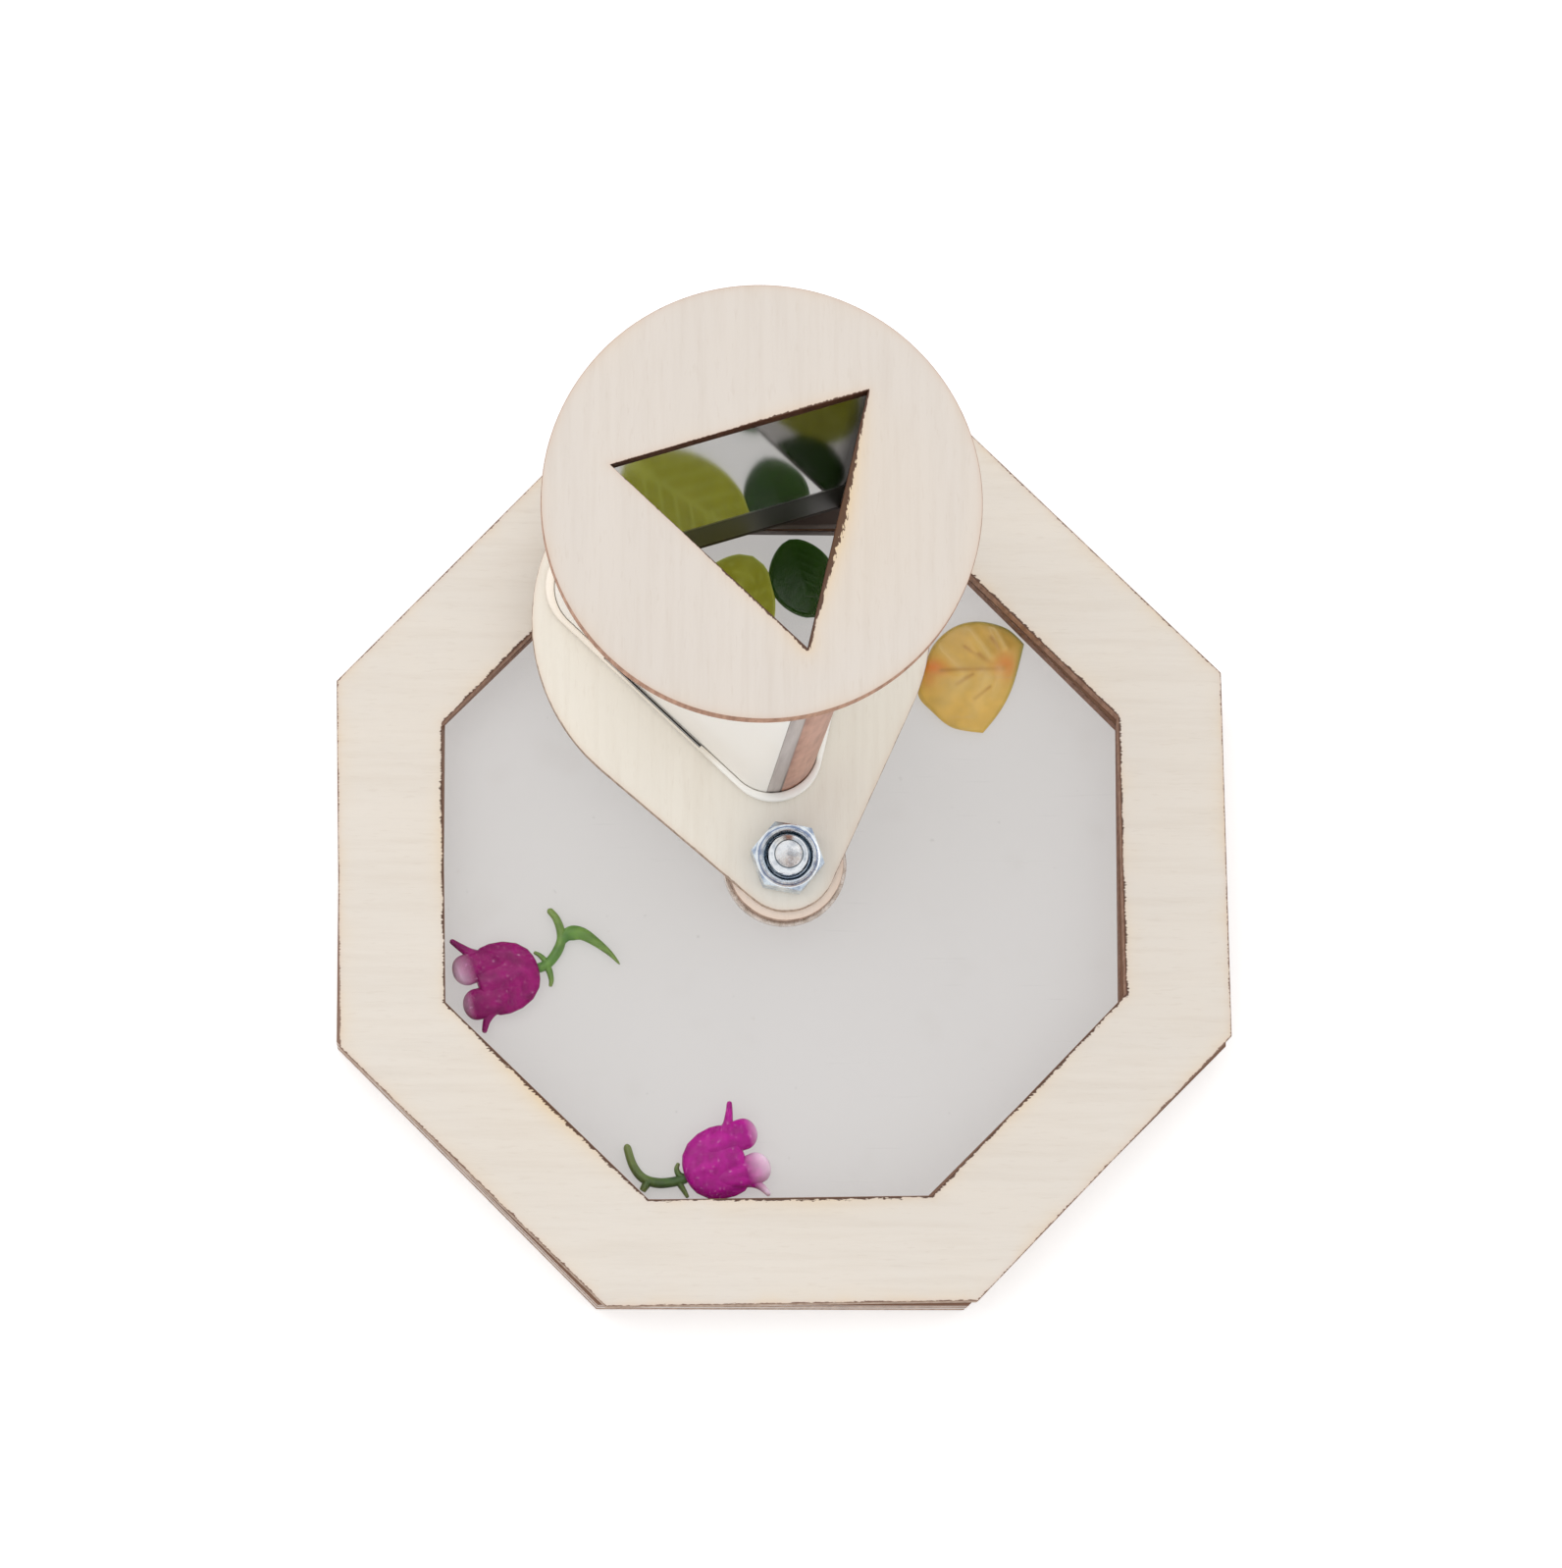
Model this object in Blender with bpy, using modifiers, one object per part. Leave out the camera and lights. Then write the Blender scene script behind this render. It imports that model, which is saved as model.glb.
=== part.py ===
"""A kaleidoscope: an octagonal chamber of loose charms that turns on a bolt under a tube of three mirrors.

Metres, +Z up. The origin is the centre of the octagon on the table. The chamber is a glued stack of
plywood rings and panes; the arm turns on the bolt above it and carries the mirror tube upright.
"""
import math

import bmesh
import bpy
from mathutils import Vector

# Sheet materials and fits
PLY_THICKNESS = 0.0027
THIN_PLY_THICKNESS = 0.0015
PANE_THICKNESS = 0.0007
SEAT_GAP = 0.0003
RUNNING_CLEARANCE = 0.0001
CUT_OVERRUN = 0.002

# Octagonal chamber
RING_ACROSS_FLATS = 0.1115
RING_BAND = 0.0132
RING_SIDES = 8
FRONT_RING_TURN = math.radians(1.0)

# Pivot bolt and nut, an M5 pair in the usual proportions
PIVOT_OFFSET = 0.001
BOLT_DIAMETER = 0.005
BOLT_CHAMFER = 0.0006
BOLT_PROUD = 0.0017
BOLT_HEAD_RECESS = 0.0003
BOLT_HEAD_WIDTH_SHARE = 1.9
BOLT_HEAD_ROUND_SHARE = 0.46
SOCKET_WIDTH_SHARE = 0.6
SOCKET_DEPTH_SHARE = 0.54
NUT_WIDTH_SHARE = 1.6
NUT_HEIGHT_SHARE = 0.8
NUT_CHAMFER_SHARE = 0.1
NUT_COUNTERSINK_SHARE = 0.1
NUT_TURN = math.radians(50.0)
HUB_DISC_DIAMETER = 0.01452
HUB_SPACER_DIAMETER = 0.012
HUB_WASHER_DIAMETER = 0.01548
HUB_WASHER_THICKNESS = 0.0012

# Arm and eyepiece
SPANNER_SPACE = 0.00262
ARM_ANGLE = math.radians(102.65)
ARM_TIP_RADIUS = 0.0063
TUBE_END_MARGIN = 0.0048
EYE_HOLE_REACH = 0.01763
TUBE_TURN = math.radians(166.9)

# Mirror tube
TUBE_LENGTH = 0.072
MIRROR_INRADIUS = 0.0101
MIRROR_THICKNESS = 0.002
SLEEVE_BACK_AIR = 0.0015
SLEEVE_CORNER_AIR = 0.00065
SLEEVE_WALL = 0.0006
SEAM_START = math.radians(-16.0)
SEAM_WIDTH = 0.0081
FOOT_RIM = 0.0009
FOOT_THICKNESS = 0.001
FOOT_SLOT_LENGTH = 0.0164
FOOT_SLOT_DEPTH = 0.00035

# Tulip charms: a bell of petals and a stem, moulded flat, each placed from the wall that it lies by
BELL_LENGTH = 0.0101
BELL_WIDTH = 0.0090
BELL_HEADROOM = 0.0003
STEM_SIZE = 0.0100
STEM_THICKNESS = 0.0012
TULIP_LEFT_FROM_WALL_SHARE = 1.173
TULIP_LEFT_ALONG_WALL_SHARE = -0.310
TULIP_LEFT_ANGLE = math.radians(197.55)
TULIP_LOW_FROM_WALL_SHARE = 0.344
TULIP_LOW_ALONG_WALL_SHARE = -0.2844
TULIP_LOW_ANGLE = math.radians(21.5)
# Half of the bell from its base to the notch at its mouth: along the length, then across the half width
BELL_SIDE_SHARES = [
    (0.00, 0.16), (0.08, 0.60), (0.25, 0.92), (0.45, 1.00), (0.62, 0.95), (0.74, 0.90),
    (0.81, 1.12), (0.92, 1.46), (0.87, 1.04), (0.84, 0.80), (0.91, 0.68), (0.96, 0.42), (0.92, 0.16),
]
BELL_NOTCH_SHARES = (0.84, 0.0)
BELL_SHARP_POINTS = (7, 9)
# Stem outlines as shares of the stem's size, from the bell's base backwards
STEM_LEFT_SHARES = [
    (-0.03, 0.06), (-0.084, 0.29), (-0.13, 0.03), (-0.29, -0.07), (-0.44, -0.19), (-0.57, -0.18),
    (-0.70, -0.04), (-1.00, 0.25), (-0.83, -0.11), (-0.66, -0.29), (-0.52, -0.39), (-0.51, -0.52),
    (-0.34, -0.68), (-0.41, -0.50), (-0.39, -0.36), (-0.30, -0.22), (-0.16, -0.11), (-0.09, -0.09),
    (-0.03, -0.195), (-0.03, -0.06),
]
STEM_LEFT_SHARP_POINTS = (0, 1, 7, 12, 18, 19)
STEM_LOW_SHARES = [
    (-0.03, 0.03), (-0.04, 0.198), (-0.10, 0.04), (-0.30, 0.10), (-0.44, 0.17), (-0.51, 0.34),
    (-0.54, 0.68), (-0.65, 0.38), (-0.63, 0.19), (-0.61, 0.06), (-0.56, 0.01), (-0.49, 0.025),
    (-0.32, -0.03), (-0.14, -0.08), (-0.06, -0.21), (-0.03, -0.08),
]
STEM_LOW_SHARP_POINTS = (0, 1, 6, 14, 15)

# Leaf charms
AMBER_LEAF_SIZE = 0.014
AMBER_LEAF_THICKNESS = 0.0014
AMBER_LEAF_FROM_WALL_SHARE = 0.597
AMBER_LEAF_SHARES = [
    (0.080, 0.527), (-0.144, 0.478), (-0.320, 0.332), (-0.409, 0.149), (-0.484, -0.138), (-0.354, -0.311),
    (-0.167, -0.456), (0.107, -0.501), (0.267, -0.297), (0.388, -0.053), (0.488, 0.318), (0.330, 0.463),
]
AMBER_LEAF_SHARP_POINTS = (7, 10)
GREEN_LEAF_SIZE = 0.0088
GREEN_LEAF_THICKNESS = 0.0012
# Each green leaf: its centre from the middle of the upper wall, its length and its width, all as shares
# of the leaf size, and the angle from base to tip
GREEN_LEAF_SHARES = {
    "lime_leaf_long": ((-0.830, -1.312), 2.045, 1.273, math.radians(69.0)),
    "lime_leaf_round": ((-1.932, -1.085), 0.955, 0.909, math.radians(140.0)),
    "dark_leaf_upper": ((0.284, -0.665), 1.273, 0.841, math.radians(-80.0)),
    "dark_leaf_lower": ((0.795, -1.994), 0.977, 0.932, math.radians(200.0)),
}

# Mesh fineness
CIRCLE_STEPS = 72
SMALL_CIRCLE_STEPS = 40
CORNER_STEPS = 12
LEAF_STEPS = 12
CHARM_RESOLUTION = 3
WELD_DISTANCE = 0.00001

# Heights of the stack, from the table up
BACK_RING_BOTTOM = 0
BACK_PANE_BOTTOM = BACK_RING_BOTTOM + PLY_THICKNESS + SEAT_GAP
SPACER_BOTTOM = BACK_PANE_BOTTOM + PANE_THICKNESS + SEAT_GAP
FRONT_PANE_BOTTOM = SPACER_BOTTOM + PLY_THICKNESS + SEAT_GAP
FRONT_RING_BOTTOM = FRONT_PANE_BOTTOM + PANE_THICKNESS + SEAT_GAP
HUB_WASHER_BOTTOM = FRONT_RING_BOTTOM + PLY_THICKNESS + SEAT_GAP
UPPER_HUB_BOTTOM = HUB_WASHER_BOTTOM + HUB_WASHER_THICKNESS + SEAT_GAP
BRACKET_BOTTOM = UPPER_HUB_BOTTOM + THIN_PLY_THICKNESS + SEAT_GAP
TUBE_BOTTOM = BRACKET_BOTTOM + THIN_PLY_THICKNESS + SEAT_GAP
DISC_BOTTOM = TUBE_BOTTOM + TUBE_LENGTH + SEAT_GAP
CHARM_BOTTOM = BACK_PANE_BOTTOM + PANE_THICKNESS + SEAT_GAP

# Sizes that follow from the ones above
WINDOW_INRADIUS = RING_ACROSS_FLATS / 2 - RING_BAND
BOLT_RADIUS = BOLT_DIAMETER / 2
BOLT_HOLE_RADIUS = BOLT_RADIUS + RUNNING_CLEARANCE
NUT_CORNER_RADIUS = NUT_WIDTH_SHARE * BOLT_RADIUS / math.cos(math.pi / 6)
TUBE_END_RADIUS = 2 * MIRROR_INRADIUS + TUBE_END_MARGIN
MIRROR_WIDTH = 2 * (math.sqrt(3) * MIRROR_INRADIUS - SEAT_GAP)
BELL_THICKNESS = PLY_THICKNESS - BELL_HEADROOM


def sleeve_corner_radius(inner_inradius):
    """The sleeve's inner corner radius that clears a mirror's outer corner by the corner air.

    The corner's arc is centred on the line from the tube's axis to its corner. The mirror's outer corner
    lies along and across that line, and its distance from the arc's centre is the radius less the air.
    """
    outer_inradius = MIRROR_INRADIUS + MIRROR_THICKNESS
    along = outer_inradius / 2 + MIRROR_WIDTH / 2 * math.sqrt(3) / 2 - 2 * inner_inradius
    across = outer_inradius * math.sqrt(3) / 2 - MIRROR_WIDTH / 4
    linear = 4 * along + 2 * SLEEVE_CORNER_AIR
    constant = along ** 2 + across ** 2 - SLEEVE_CORNER_AIR ** 2
    return (math.sqrt(linear ** 2 - 12 * constant) - linear) / 6


SLEEVE_INNER_INRADIUS = MIRROR_INRADIUS + MIRROR_THICKNESS + SLEEVE_BACK_AIR
SLEEVE_INNER_CORNER = sleeve_corner_radius(SLEEVE_INNER_INRADIUS)
SLEEVE_INRADIUS = SLEEVE_INNER_INRADIUS + SLEEVE_WALL
SLEEVE_CORNER = SLEEVE_INNER_CORNER + SLEEVE_WALL
FOOT_INRADIUS = SLEEVE_INRADIUS + SEAT_GAP + FOOT_RIM
FOOT_CORNER = SLEEVE_CORNER + SEAT_GAP + FOOT_RIM
FOOT_REACH = 2 * (FOOT_INRADIUS - FOOT_CORNER) + FOOT_CORNER
ARM_LENGTH = FOOT_REACH + SPANNER_SPACE + NUT_CORNER_RADIUS
PIVOT = Vector((0, -PIVOT_OFFSET, 0))
TUBE_AXIS = Vector((ARM_LENGTH * math.cos(ARM_ANGLE), ARM_LENGTH * math.sin(ARM_ANGLE), 0))


def linear_colour(red, green, blue, alpha=1.0):
    """Turn a display colour of 0 to 255 into the linear colour that a shader takes."""
    def channel(value):
        value = value / 255
        return value / 12.92 if value <= 0.04045 else ((value + 0.055) / 1.055) ** 2.4
    return channel(red), channel(green), channel(blue), alpha


def make_material(name, colour, roughness, metallic=0.0):
    material = bpy.data.materials.new(name)
    material.use_nodes = True
    shader = material.node_tree.nodes["Principled BSDF"]
    shader.inputs["Base Color"].default_value = colour
    shader.inputs["Roughness"].default_value = roughness
    shader.inputs["Metallic"].default_value = metallic
    shader.inputs["Alpha"].default_value = colour[3]
    material.diffuse_color = colour
    return material


def ply_material(name):
    return make_material(name, linear_colour(226, 216, 202), 0.6)


def pane_material(name, alpha):
    return make_material(name, linear_colour(226, 224, 222, alpha), 0.1)


def steel_material(name):
    return make_material(name, linear_colour(176, 188, 204), 0.25, 1.0)


def mirror_material(name):
    return make_material(name, linear_colour(220, 224, 226), 0.03, 1.0)


# Outlines, each a list of points in one plane
def polygon(sides, across_flats, turn=0.0):
    """A regular polygon whose first flat faces along the turn angle."""
    radius = across_flats / 2 / math.cos(math.pi / sides)
    angles = [turn + math.pi * (2 * step + 1) / sides for step in range(sides)]
    return [(radius * math.cos(angle), radius * math.sin(angle)) for angle in angles]


def circle(radius, steps, centre=(0, 0)):
    angles = [math.tau * step / steps for step in range(steps)]
    return [(centre[0] + radius * math.cos(angle), centre[1] + radius * math.sin(angle)) for angle in angles]


def arc(radius, start, end, steps, centre=(0, 0)):
    angles = [start + (end - start) * step / steps for step in range(steps + 1)]
    return [(centre[0] + radius * math.cos(angle), centre[1] + radius * math.sin(angle)) for angle in angles]


def triangle(inradius, turn, centre=(0, 0)):
    """An equilateral triangle whose first corner points along the turn angle."""
    return [
        (centre[0] + 2 * inradius * math.cos(turn + math.tau * corner / 3),
         centre[1] + 2 * inradius * math.sin(turn + math.tau * corner / 3))
        for corner in range(3)
    ]


def teardrop(tip_radius, end_radius, length, angle):
    """Two circles and their outer tangents: the tip at the origin, the large end along the angle."""
    tangent = math.acos((tip_radius - end_radius) / length)
    end_centre = (length * math.cos(angle), length * math.sin(angle))
    end_arc = arc(end_radius, angle - tangent, angle + tangent, CIRCLE_STEPS * 3 // 4, end_centre)
    tip_arc = arc(tip_radius, angle + tangent, angle + math.tau - tangent, CORNER_STEPS)
    return end_arc + tip_arc


def corner_arc(corner, inradius, corner_radius, first_share=0.0, last_share=1.0):
    """One corner's arc of a rounded triangle round the tube's axis, from a first to a last share of it."""
    corner_angle = TUBE_TURN + corner * math.tau / 3
    reach = 2 * (inradius - corner_radius)
    centre = (reach * math.cos(corner_angle), reach * math.sin(corner_angle))
    start = corner_angle + (first_share - 0.5) * math.tau / 3
    end = corner_angle + (last_share - 0.5) * math.tau / 3
    return arc(corner_radius, start, end, CORNER_STEPS, centre)


def rounded_triangle(inradius, corner_radius):
    points = []
    for corner in range(3):
        points += corner_arc(corner, inradius, corner_radius)
    return points


def open_sleeve():
    """The sleeve's wall as one strip that runs round the tube from one edge of its seam to the other."""
    seam_corner = 1
    arc_start = TUBE_TURN + (seam_corner - 0.5) * math.tau / 3 - math.tau
    first_share = (SEAM_START - arc_start) / (math.tau / 3)
    last_share = first_share - SEAM_WIDTH / SLEEVE_CORNER / (math.tau / 3)
    faces = []
    for wall in (0, SLEEVE_WALL):
        inradius = SLEEVE_INRADIUS - wall
        corner_radius = SLEEVE_CORNER - wall
        points = corner_arc(seam_corner, inradius, corner_radius, first_share, 1.0)
        points += corner_arc(seam_corner + 1, inradius, corner_radius)
        points += corner_arc(seam_corner + 2, inradius, corner_radius)
        points += corner_arc(seam_corner, inradius, corner_radius, 0.0, last_share)
        faces.append(points)
    outer, inner = faces
    return outer + inner[::-1]


def foot_opening():
    """The foot's inner edge: clear of the sleeve, with a shallow slot let into each straight side."""
    inradius = SLEEVE_INRADIUS + SEAT_GAP
    half = FOOT_SLOT_LENGTH / 2
    points = []
    for corner in range(3):
        points += corner_arc(corner, inradius, SLEEVE_CORNER + SEAT_GAP)
        side = TUBE_TURN + (corner + 0.5) * math.tau / 3
        normal = Vector((math.cos(side), math.sin(side)))
        along = Vector((-math.sin(side), math.cos(side)))
        steps = [(inradius, -half), (inradius + FOOT_SLOT_DEPTH, -half),
                 (inradius + FOOT_SLOT_DEPTH, half), (inradius, half)]
        points += [tuple(normal * out + along * run) for out, run in steps]
    return points


def bracket_slots():
    """Three narrow slots through the bracket, one straight under each slot of the foot."""
    inner = SLEEVE_INRADIUS + SEAT_GAP
    outer = inner + FOOT_SLOT_DEPTH
    half = FOOT_SLOT_LENGTH / 2
    slots = []
    for corner in range(3):
        side = TUBE_TURN + (corner + 0.5) * math.tau / 3
        normal = Vector((math.cos(side), math.sin(side)))
        along = Vector((-math.sin(side), math.cos(side)))
        steps = [(inner, -half), (outer, -half), (outer, half), (inner, half)]
        slots.append([tuple(TUBE_AXIS.xy + normal * out + along * run) for out, run in steps])
    return slots


def leaf(length, width):
    """A pointed oval: the half width follows a flattened sine from base to tip."""
    fullness_share = 0.7
    side = []
    for step in range(1, LEAF_STEPS):
        share = step / LEAF_STEPS
        half_width = width / 2 * math.sin(math.pi * share) ** fullness_share
        side.append(((share - 0.5) * length, half_width))
    lower = [(along, -across) for along, across in side]
    return [(-length / 2, 0)] + lower + [(length / 2, 0)] + side[::-1]


def bell():
    """The petal bell's outline, its half and the mirror image of it, starting just clear of the stem."""
    half = [(along * BELL_LENGTH + SEAT_GAP / 2, across * BELL_WIDTH / 2) for along, across in BELL_SIDE_SHARES]
    notch = (BELL_NOTCH_SHARES[0] * BELL_LENGTH + SEAT_GAP / 2, BELL_NOTCH_SHARES[1])
    mirrored = [(along, -across) for along, across in half]
    return mirrored + [notch] + half[::-1]


def bell_sharp_points():
    last = 2 * len(BELL_SIDE_SHARES)
    mirrored = {last - index for index in BELL_SHARP_POINTS}
    return set(BELL_SHARP_POINTS) | {len(BELL_SIDE_SHARES)} | mirrored


def scaled(shares, size):
    return [(along * size, across * size) for along, across in shares]


def new_object(name, mesh, collection, material=None):
    piece = bpy.data.objects.new(name, mesh)
    collection.objects.link(piece)
    if material:
        mesh.materials.clear()
        mesh.materials.append(material)
    return piece


def plate_mesh(name, outlines, thickness, sharp_points=None):
    """Extrude flat outlines, holes included, into a closed mesh that stands on its own z = 0.

    With sharp points given, the outlines are smooth curves through their points, cornered only there.
    """
    curve = bpy.data.curves.new(name, "CURVE")
    curve.dimensions = "2D"
    curve.fill_mode = "BOTH"
    curve.extrude = thickness / 2
    curve.resolution_u = CHARM_RESOLUTION
    for outline in outlines:
        spline = curve.splines.new("POLY" if sharp_points is None else "BEZIER")
        points = spline.points if sharp_points is None else spline.bezier_points
        points.add(len(outline) - 1)
        for index, (point, place) in enumerate(zip(points, outline)):
            if sharp_points is None:
                point.co = (place[0], place[1], 0, 1)
            else:
                point.co = (place[0], place[1], 0)
                handle = "VECTOR" if index in sharp_points else "AUTO"
                point.handle_left_type = handle
                point.handle_right_type = handle
        spline.use_cyclic_u = True
    holder = bpy.data.objects.new(name, curve)
    bpy.context.scene.collection.objects.link(holder)
    bpy.context.view_layer.update()
    evaluated = holder.evaluated_get(bpy.context.evaluated_depsgraph_get())
    mesh = bpy.data.meshes.new_from_object(evaluated)
    bpy.data.objects.remove(holder)
    bpy.data.curves.remove(curve)
    edit = bmesh.new()
    edit.from_mesh(mesh)
    bmesh.ops.remove_doubles(edit, verts=edit.verts, dist=WELD_DISTANCE)
    bmesh.ops.translate(edit, verts=edit.verts, vec=(0, 0, thickness / 2))
    bmesh.ops.recalc_face_normals(edit, faces=edit.faces)
    edit.to_mesh(mesh)
    edit.free()
    return mesh


def plate(name, outlines, thickness, bottom, collection, material, sharp_points=None):
    mesh = plate_mesh(name, outlines, thickness, sharp_points)
    piece = new_object(name, mesh, collection, material)
    piece.location.z = bottom
    return piece


def turned(name, profile, collection, material, closed=False):
    """Turn a profile of (radius, height) points about Z. It runs down its outer side."""
    mesh = bpy.data.meshes.new(name)
    edit = bmesh.new()
    points = [edit.verts.new((radius, 0, height)) for radius, height in profile]
    for first, second in zip(points, points[1:]):
        edit.edges.new((first, second))
    if closed:
        edit.edges.new((points[-1], points[0]))
    edit.to_mesh(mesh)
    edit.free()
    piece = new_object(name, mesh, collection, material)
    screw = piece.modifiers.new("turn", "SCREW")
    screw.axis = "Z"
    screw.steps = SMALL_CIRCLE_STEPS
    screw.render_steps = SMALL_CIRCLE_STEPS
    screw.use_merge_vertices = True
    screw.merge_threshold = WELD_DISTANCE
    screw.use_smooth_shade = False
    return piece


def cut(piece, cutter, operation):
    cutter.hide_render = True
    cutter.display_type = "WIRE"
    boolean = piece.modifiers.new(operation.lower(), "BOOLEAN")
    boolean.operation = operation
    boolean.solver = "EXACT"
    boolean.object = cutter


def empty(name, place, collection, parent=None):
    holder = bpy.data.objects.new(name, None)
    holder.location = place
    holder.parent = parent
    collection.objects.link(holder)
    return holder


def make_chamber(parts):
    """The glued stack: three rings, two panes, two small spacers round the bolt and the washer on them."""
    bolt_hole = circle(BOLT_HOLE_RADIUS, SMALL_CIRCLE_STEPS, PIVOT)
    ring_outlines = [polygon(RING_SIDES, RING_ACROSS_FLATS), polygon(RING_SIDES, 2 * WINDOW_INRADIUS)]
    pane_outlines = [polygon(RING_SIDES, RING_ACROSS_FLATS), bolt_hole]
    plate("back_ring", ring_outlines, PLY_THICKNESS, BACK_RING_BOTTOM, parts, ply_material("back_ring_ply"))
    plate("back_pane", pane_outlines, PANE_THICKNESS, BACK_PANE_BOTTOM, parts,
          pane_material("frosted_pane", 0.8))
    plate("spacer_ring", ring_outlines, PLY_THICKNESS, SPACER_BOTTOM, parts, ply_material("spacer_ring_ply"))
    plate("front_pane", pane_outlines, PANE_THICKNESS, FRONT_PANE_BOTTOM, parts,
          pane_material("clear_pane", 0.2))
    front = plate("front_ring", ring_outlines, PLY_THICKNESS, FRONT_RING_BOTTOM, parts,
                  ply_material("front_ring_ply"))
    front.rotation_euler.z = FRONT_RING_TURN
    hub_hole = circle(BOLT_HOLE_RADIUS, SMALL_CIRCLE_STEPS)
    spacer_outlines = [circle(HUB_SPACER_DIAMETER / 2, SMALL_CIRCLE_STEPS), hub_hole]
    for name, bottom in (("hub_core", SPACER_BOTTOM), ("lower_hub_disc", FRONT_RING_BOTTOM)):
        disc = plate(name, spacer_outlines, PLY_THICKNESS, bottom, parts, ply_material(name + "_ply"))
        disc.location += PIVOT
    washer_outlines = [circle(HUB_WASHER_DIAMETER / 2, SMALL_CIRCLE_STEPS), hub_hole]
    washer = plate("hub_washer", washer_outlines, HUB_WASHER_THICKNESS, HUB_WASHER_BOTTOM, parts,
                   steel_material("washer_steel"))
    washer.location += PIVOT


def make_bolt(parts, cutters):
    """A low round-headed bolt whose head sits in the back ring's window, under the back pane."""
    head_top = BACK_PANE_BOTTOM - SEAT_GAP
    head_bottom = BACK_RING_BOTTOM + BOLT_HEAD_RECESS
    head_height = head_top - head_bottom
    head_radius = BOLT_HEAD_WIDTH_SHARE * BOLT_RADIUS
    head_round = BOLT_HEAD_ROUND_SHARE * head_height
    shank_top = TUBE_BOTTOM + NUT_HEIGHT_SHARE * BOLT_DIAMETER + BOLT_PROUD
    round_steps = 4
    round_angles = [math.pi / 2 * step / round_steps for step in range(round_steps + 1)]
    round_points = [
        (head_radius - head_round * (1 - math.cos(angle)), head_bottom + head_round * (1 - math.sin(angle)))
        for angle in round_angles
    ]
    profile = [
        (0, shank_top), (BOLT_RADIUS - BOLT_CHAMFER, shank_top), (BOLT_RADIUS, shank_top - BOLT_CHAMFER),
        (BOLT_RADIUS, head_top), (head_radius, head_top),
    ]
    bolt = turned("bolt", profile + round_points + [(0, head_bottom)], parts, steel_material("bolt_steel"))
    bolt.location = PIVOT
    socket_outline = polygon(6, SOCKET_WIDTH_SHARE * BOLT_DIAMETER)
    socket_mesh = plate_mesh("socket_cut", [socket_outline], SOCKET_DEPTH_SHARE * head_height + CUT_OVERRUN)
    socket = new_object("socket_cut", socket_mesh, cutters)
    socket.location = PIVOT + Vector((0, 0, head_bottom - CUT_OVERRUN))
    cut(bolt, socket, "DIFFERENCE")


def make_nut(parts, cutters):
    """A hexagon nut: a turned blank with chamfers and countersinks, kept where a hexagonal bar meets it."""
    height = NUT_HEIGHT_SHARE * BOLT_DIAMETER
    blank_radius = NUT_CORNER_RADIUS + RUNNING_CLEARANCE
    face_radius = (NUT_WIDTH_SHARE - NUT_CHAMFER_SHARE) * BOLT_RADIUS
    chamfer_drop = (blank_radius - face_radius) * math.tan(math.radians(30))
    bore = BOLT_HOLE_RADIUS
    sink_depth = NUT_COUNTERSINK_SHARE * BOLT_DIAMETER
    profile = [
        (face_radius, height), (blank_radius, height - chamfer_drop), (blank_radius, chamfer_drop),
        (face_radius, 0), (bore + sink_depth, 0), (bore, sink_depth), (bore, height - sink_depth),
        (bore + sink_depth, height),
    ]
    nut = turned("nut", profile, parts, steel_material("nut_steel"), closed=True)
    nut.location = PIVOT + Vector((0, 0, TUBE_BOTTOM))
    bar_mesh = plate_mesh("nut_bar", [polygon(6, NUT_WIDTH_SHARE * BOLT_DIAMETER)], height + 2 * CUT_OVERRUN)
    bar = new_object("nut_bar", bar_mesh, cutters)
    bar.rotation_euler.z = NUT_TURN - math.pi / 6
    bar.location = PIVOT + Vector((0, 0, TUBE_BOTTOM - CUT_OVERRUN))
    cut(nut, bar, "INTERSECT")


def make_arm(parts, pivot):
    """The hub disc and the teardrop bracket that turn on the bolt, drawn from the bolt's axis."""
    bolt_hole = circle(BOLT_HOLE_RADIUS, SMALL_CIRCLE_STEPS)
    hub_outlines = [circle(HUB_DISC_DIAMETER / 2, SMALL_CIRCLE_STEPS), bolt_hole]
    hub = plate("upper_hub_disc", hub_outlines, THIN_PLY_THICKNESS, UPPER_HUB_BOTTOM, parts,
                ply_material("upper_hub_ply"))
    hub.parent = pivot
    outline = teardrop(ARM_TIP_RADIUS, TUBE_END_RADIUS, ARM_LENGTH, ARM_ANGLE)
    light_hole = triangle(MIRROR_INRADIUS, TUBE_TURN, TUBE_AXIS)
    bracket = plate("bracket", [outline, bolt_hole, light_hole] + bracket_slots(), THIN_PLY_THICKNESS,
                    BRACKET_BOTTOM, parts, ply_material("bracket_ply"))
    bracket.parent = pivot


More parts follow.
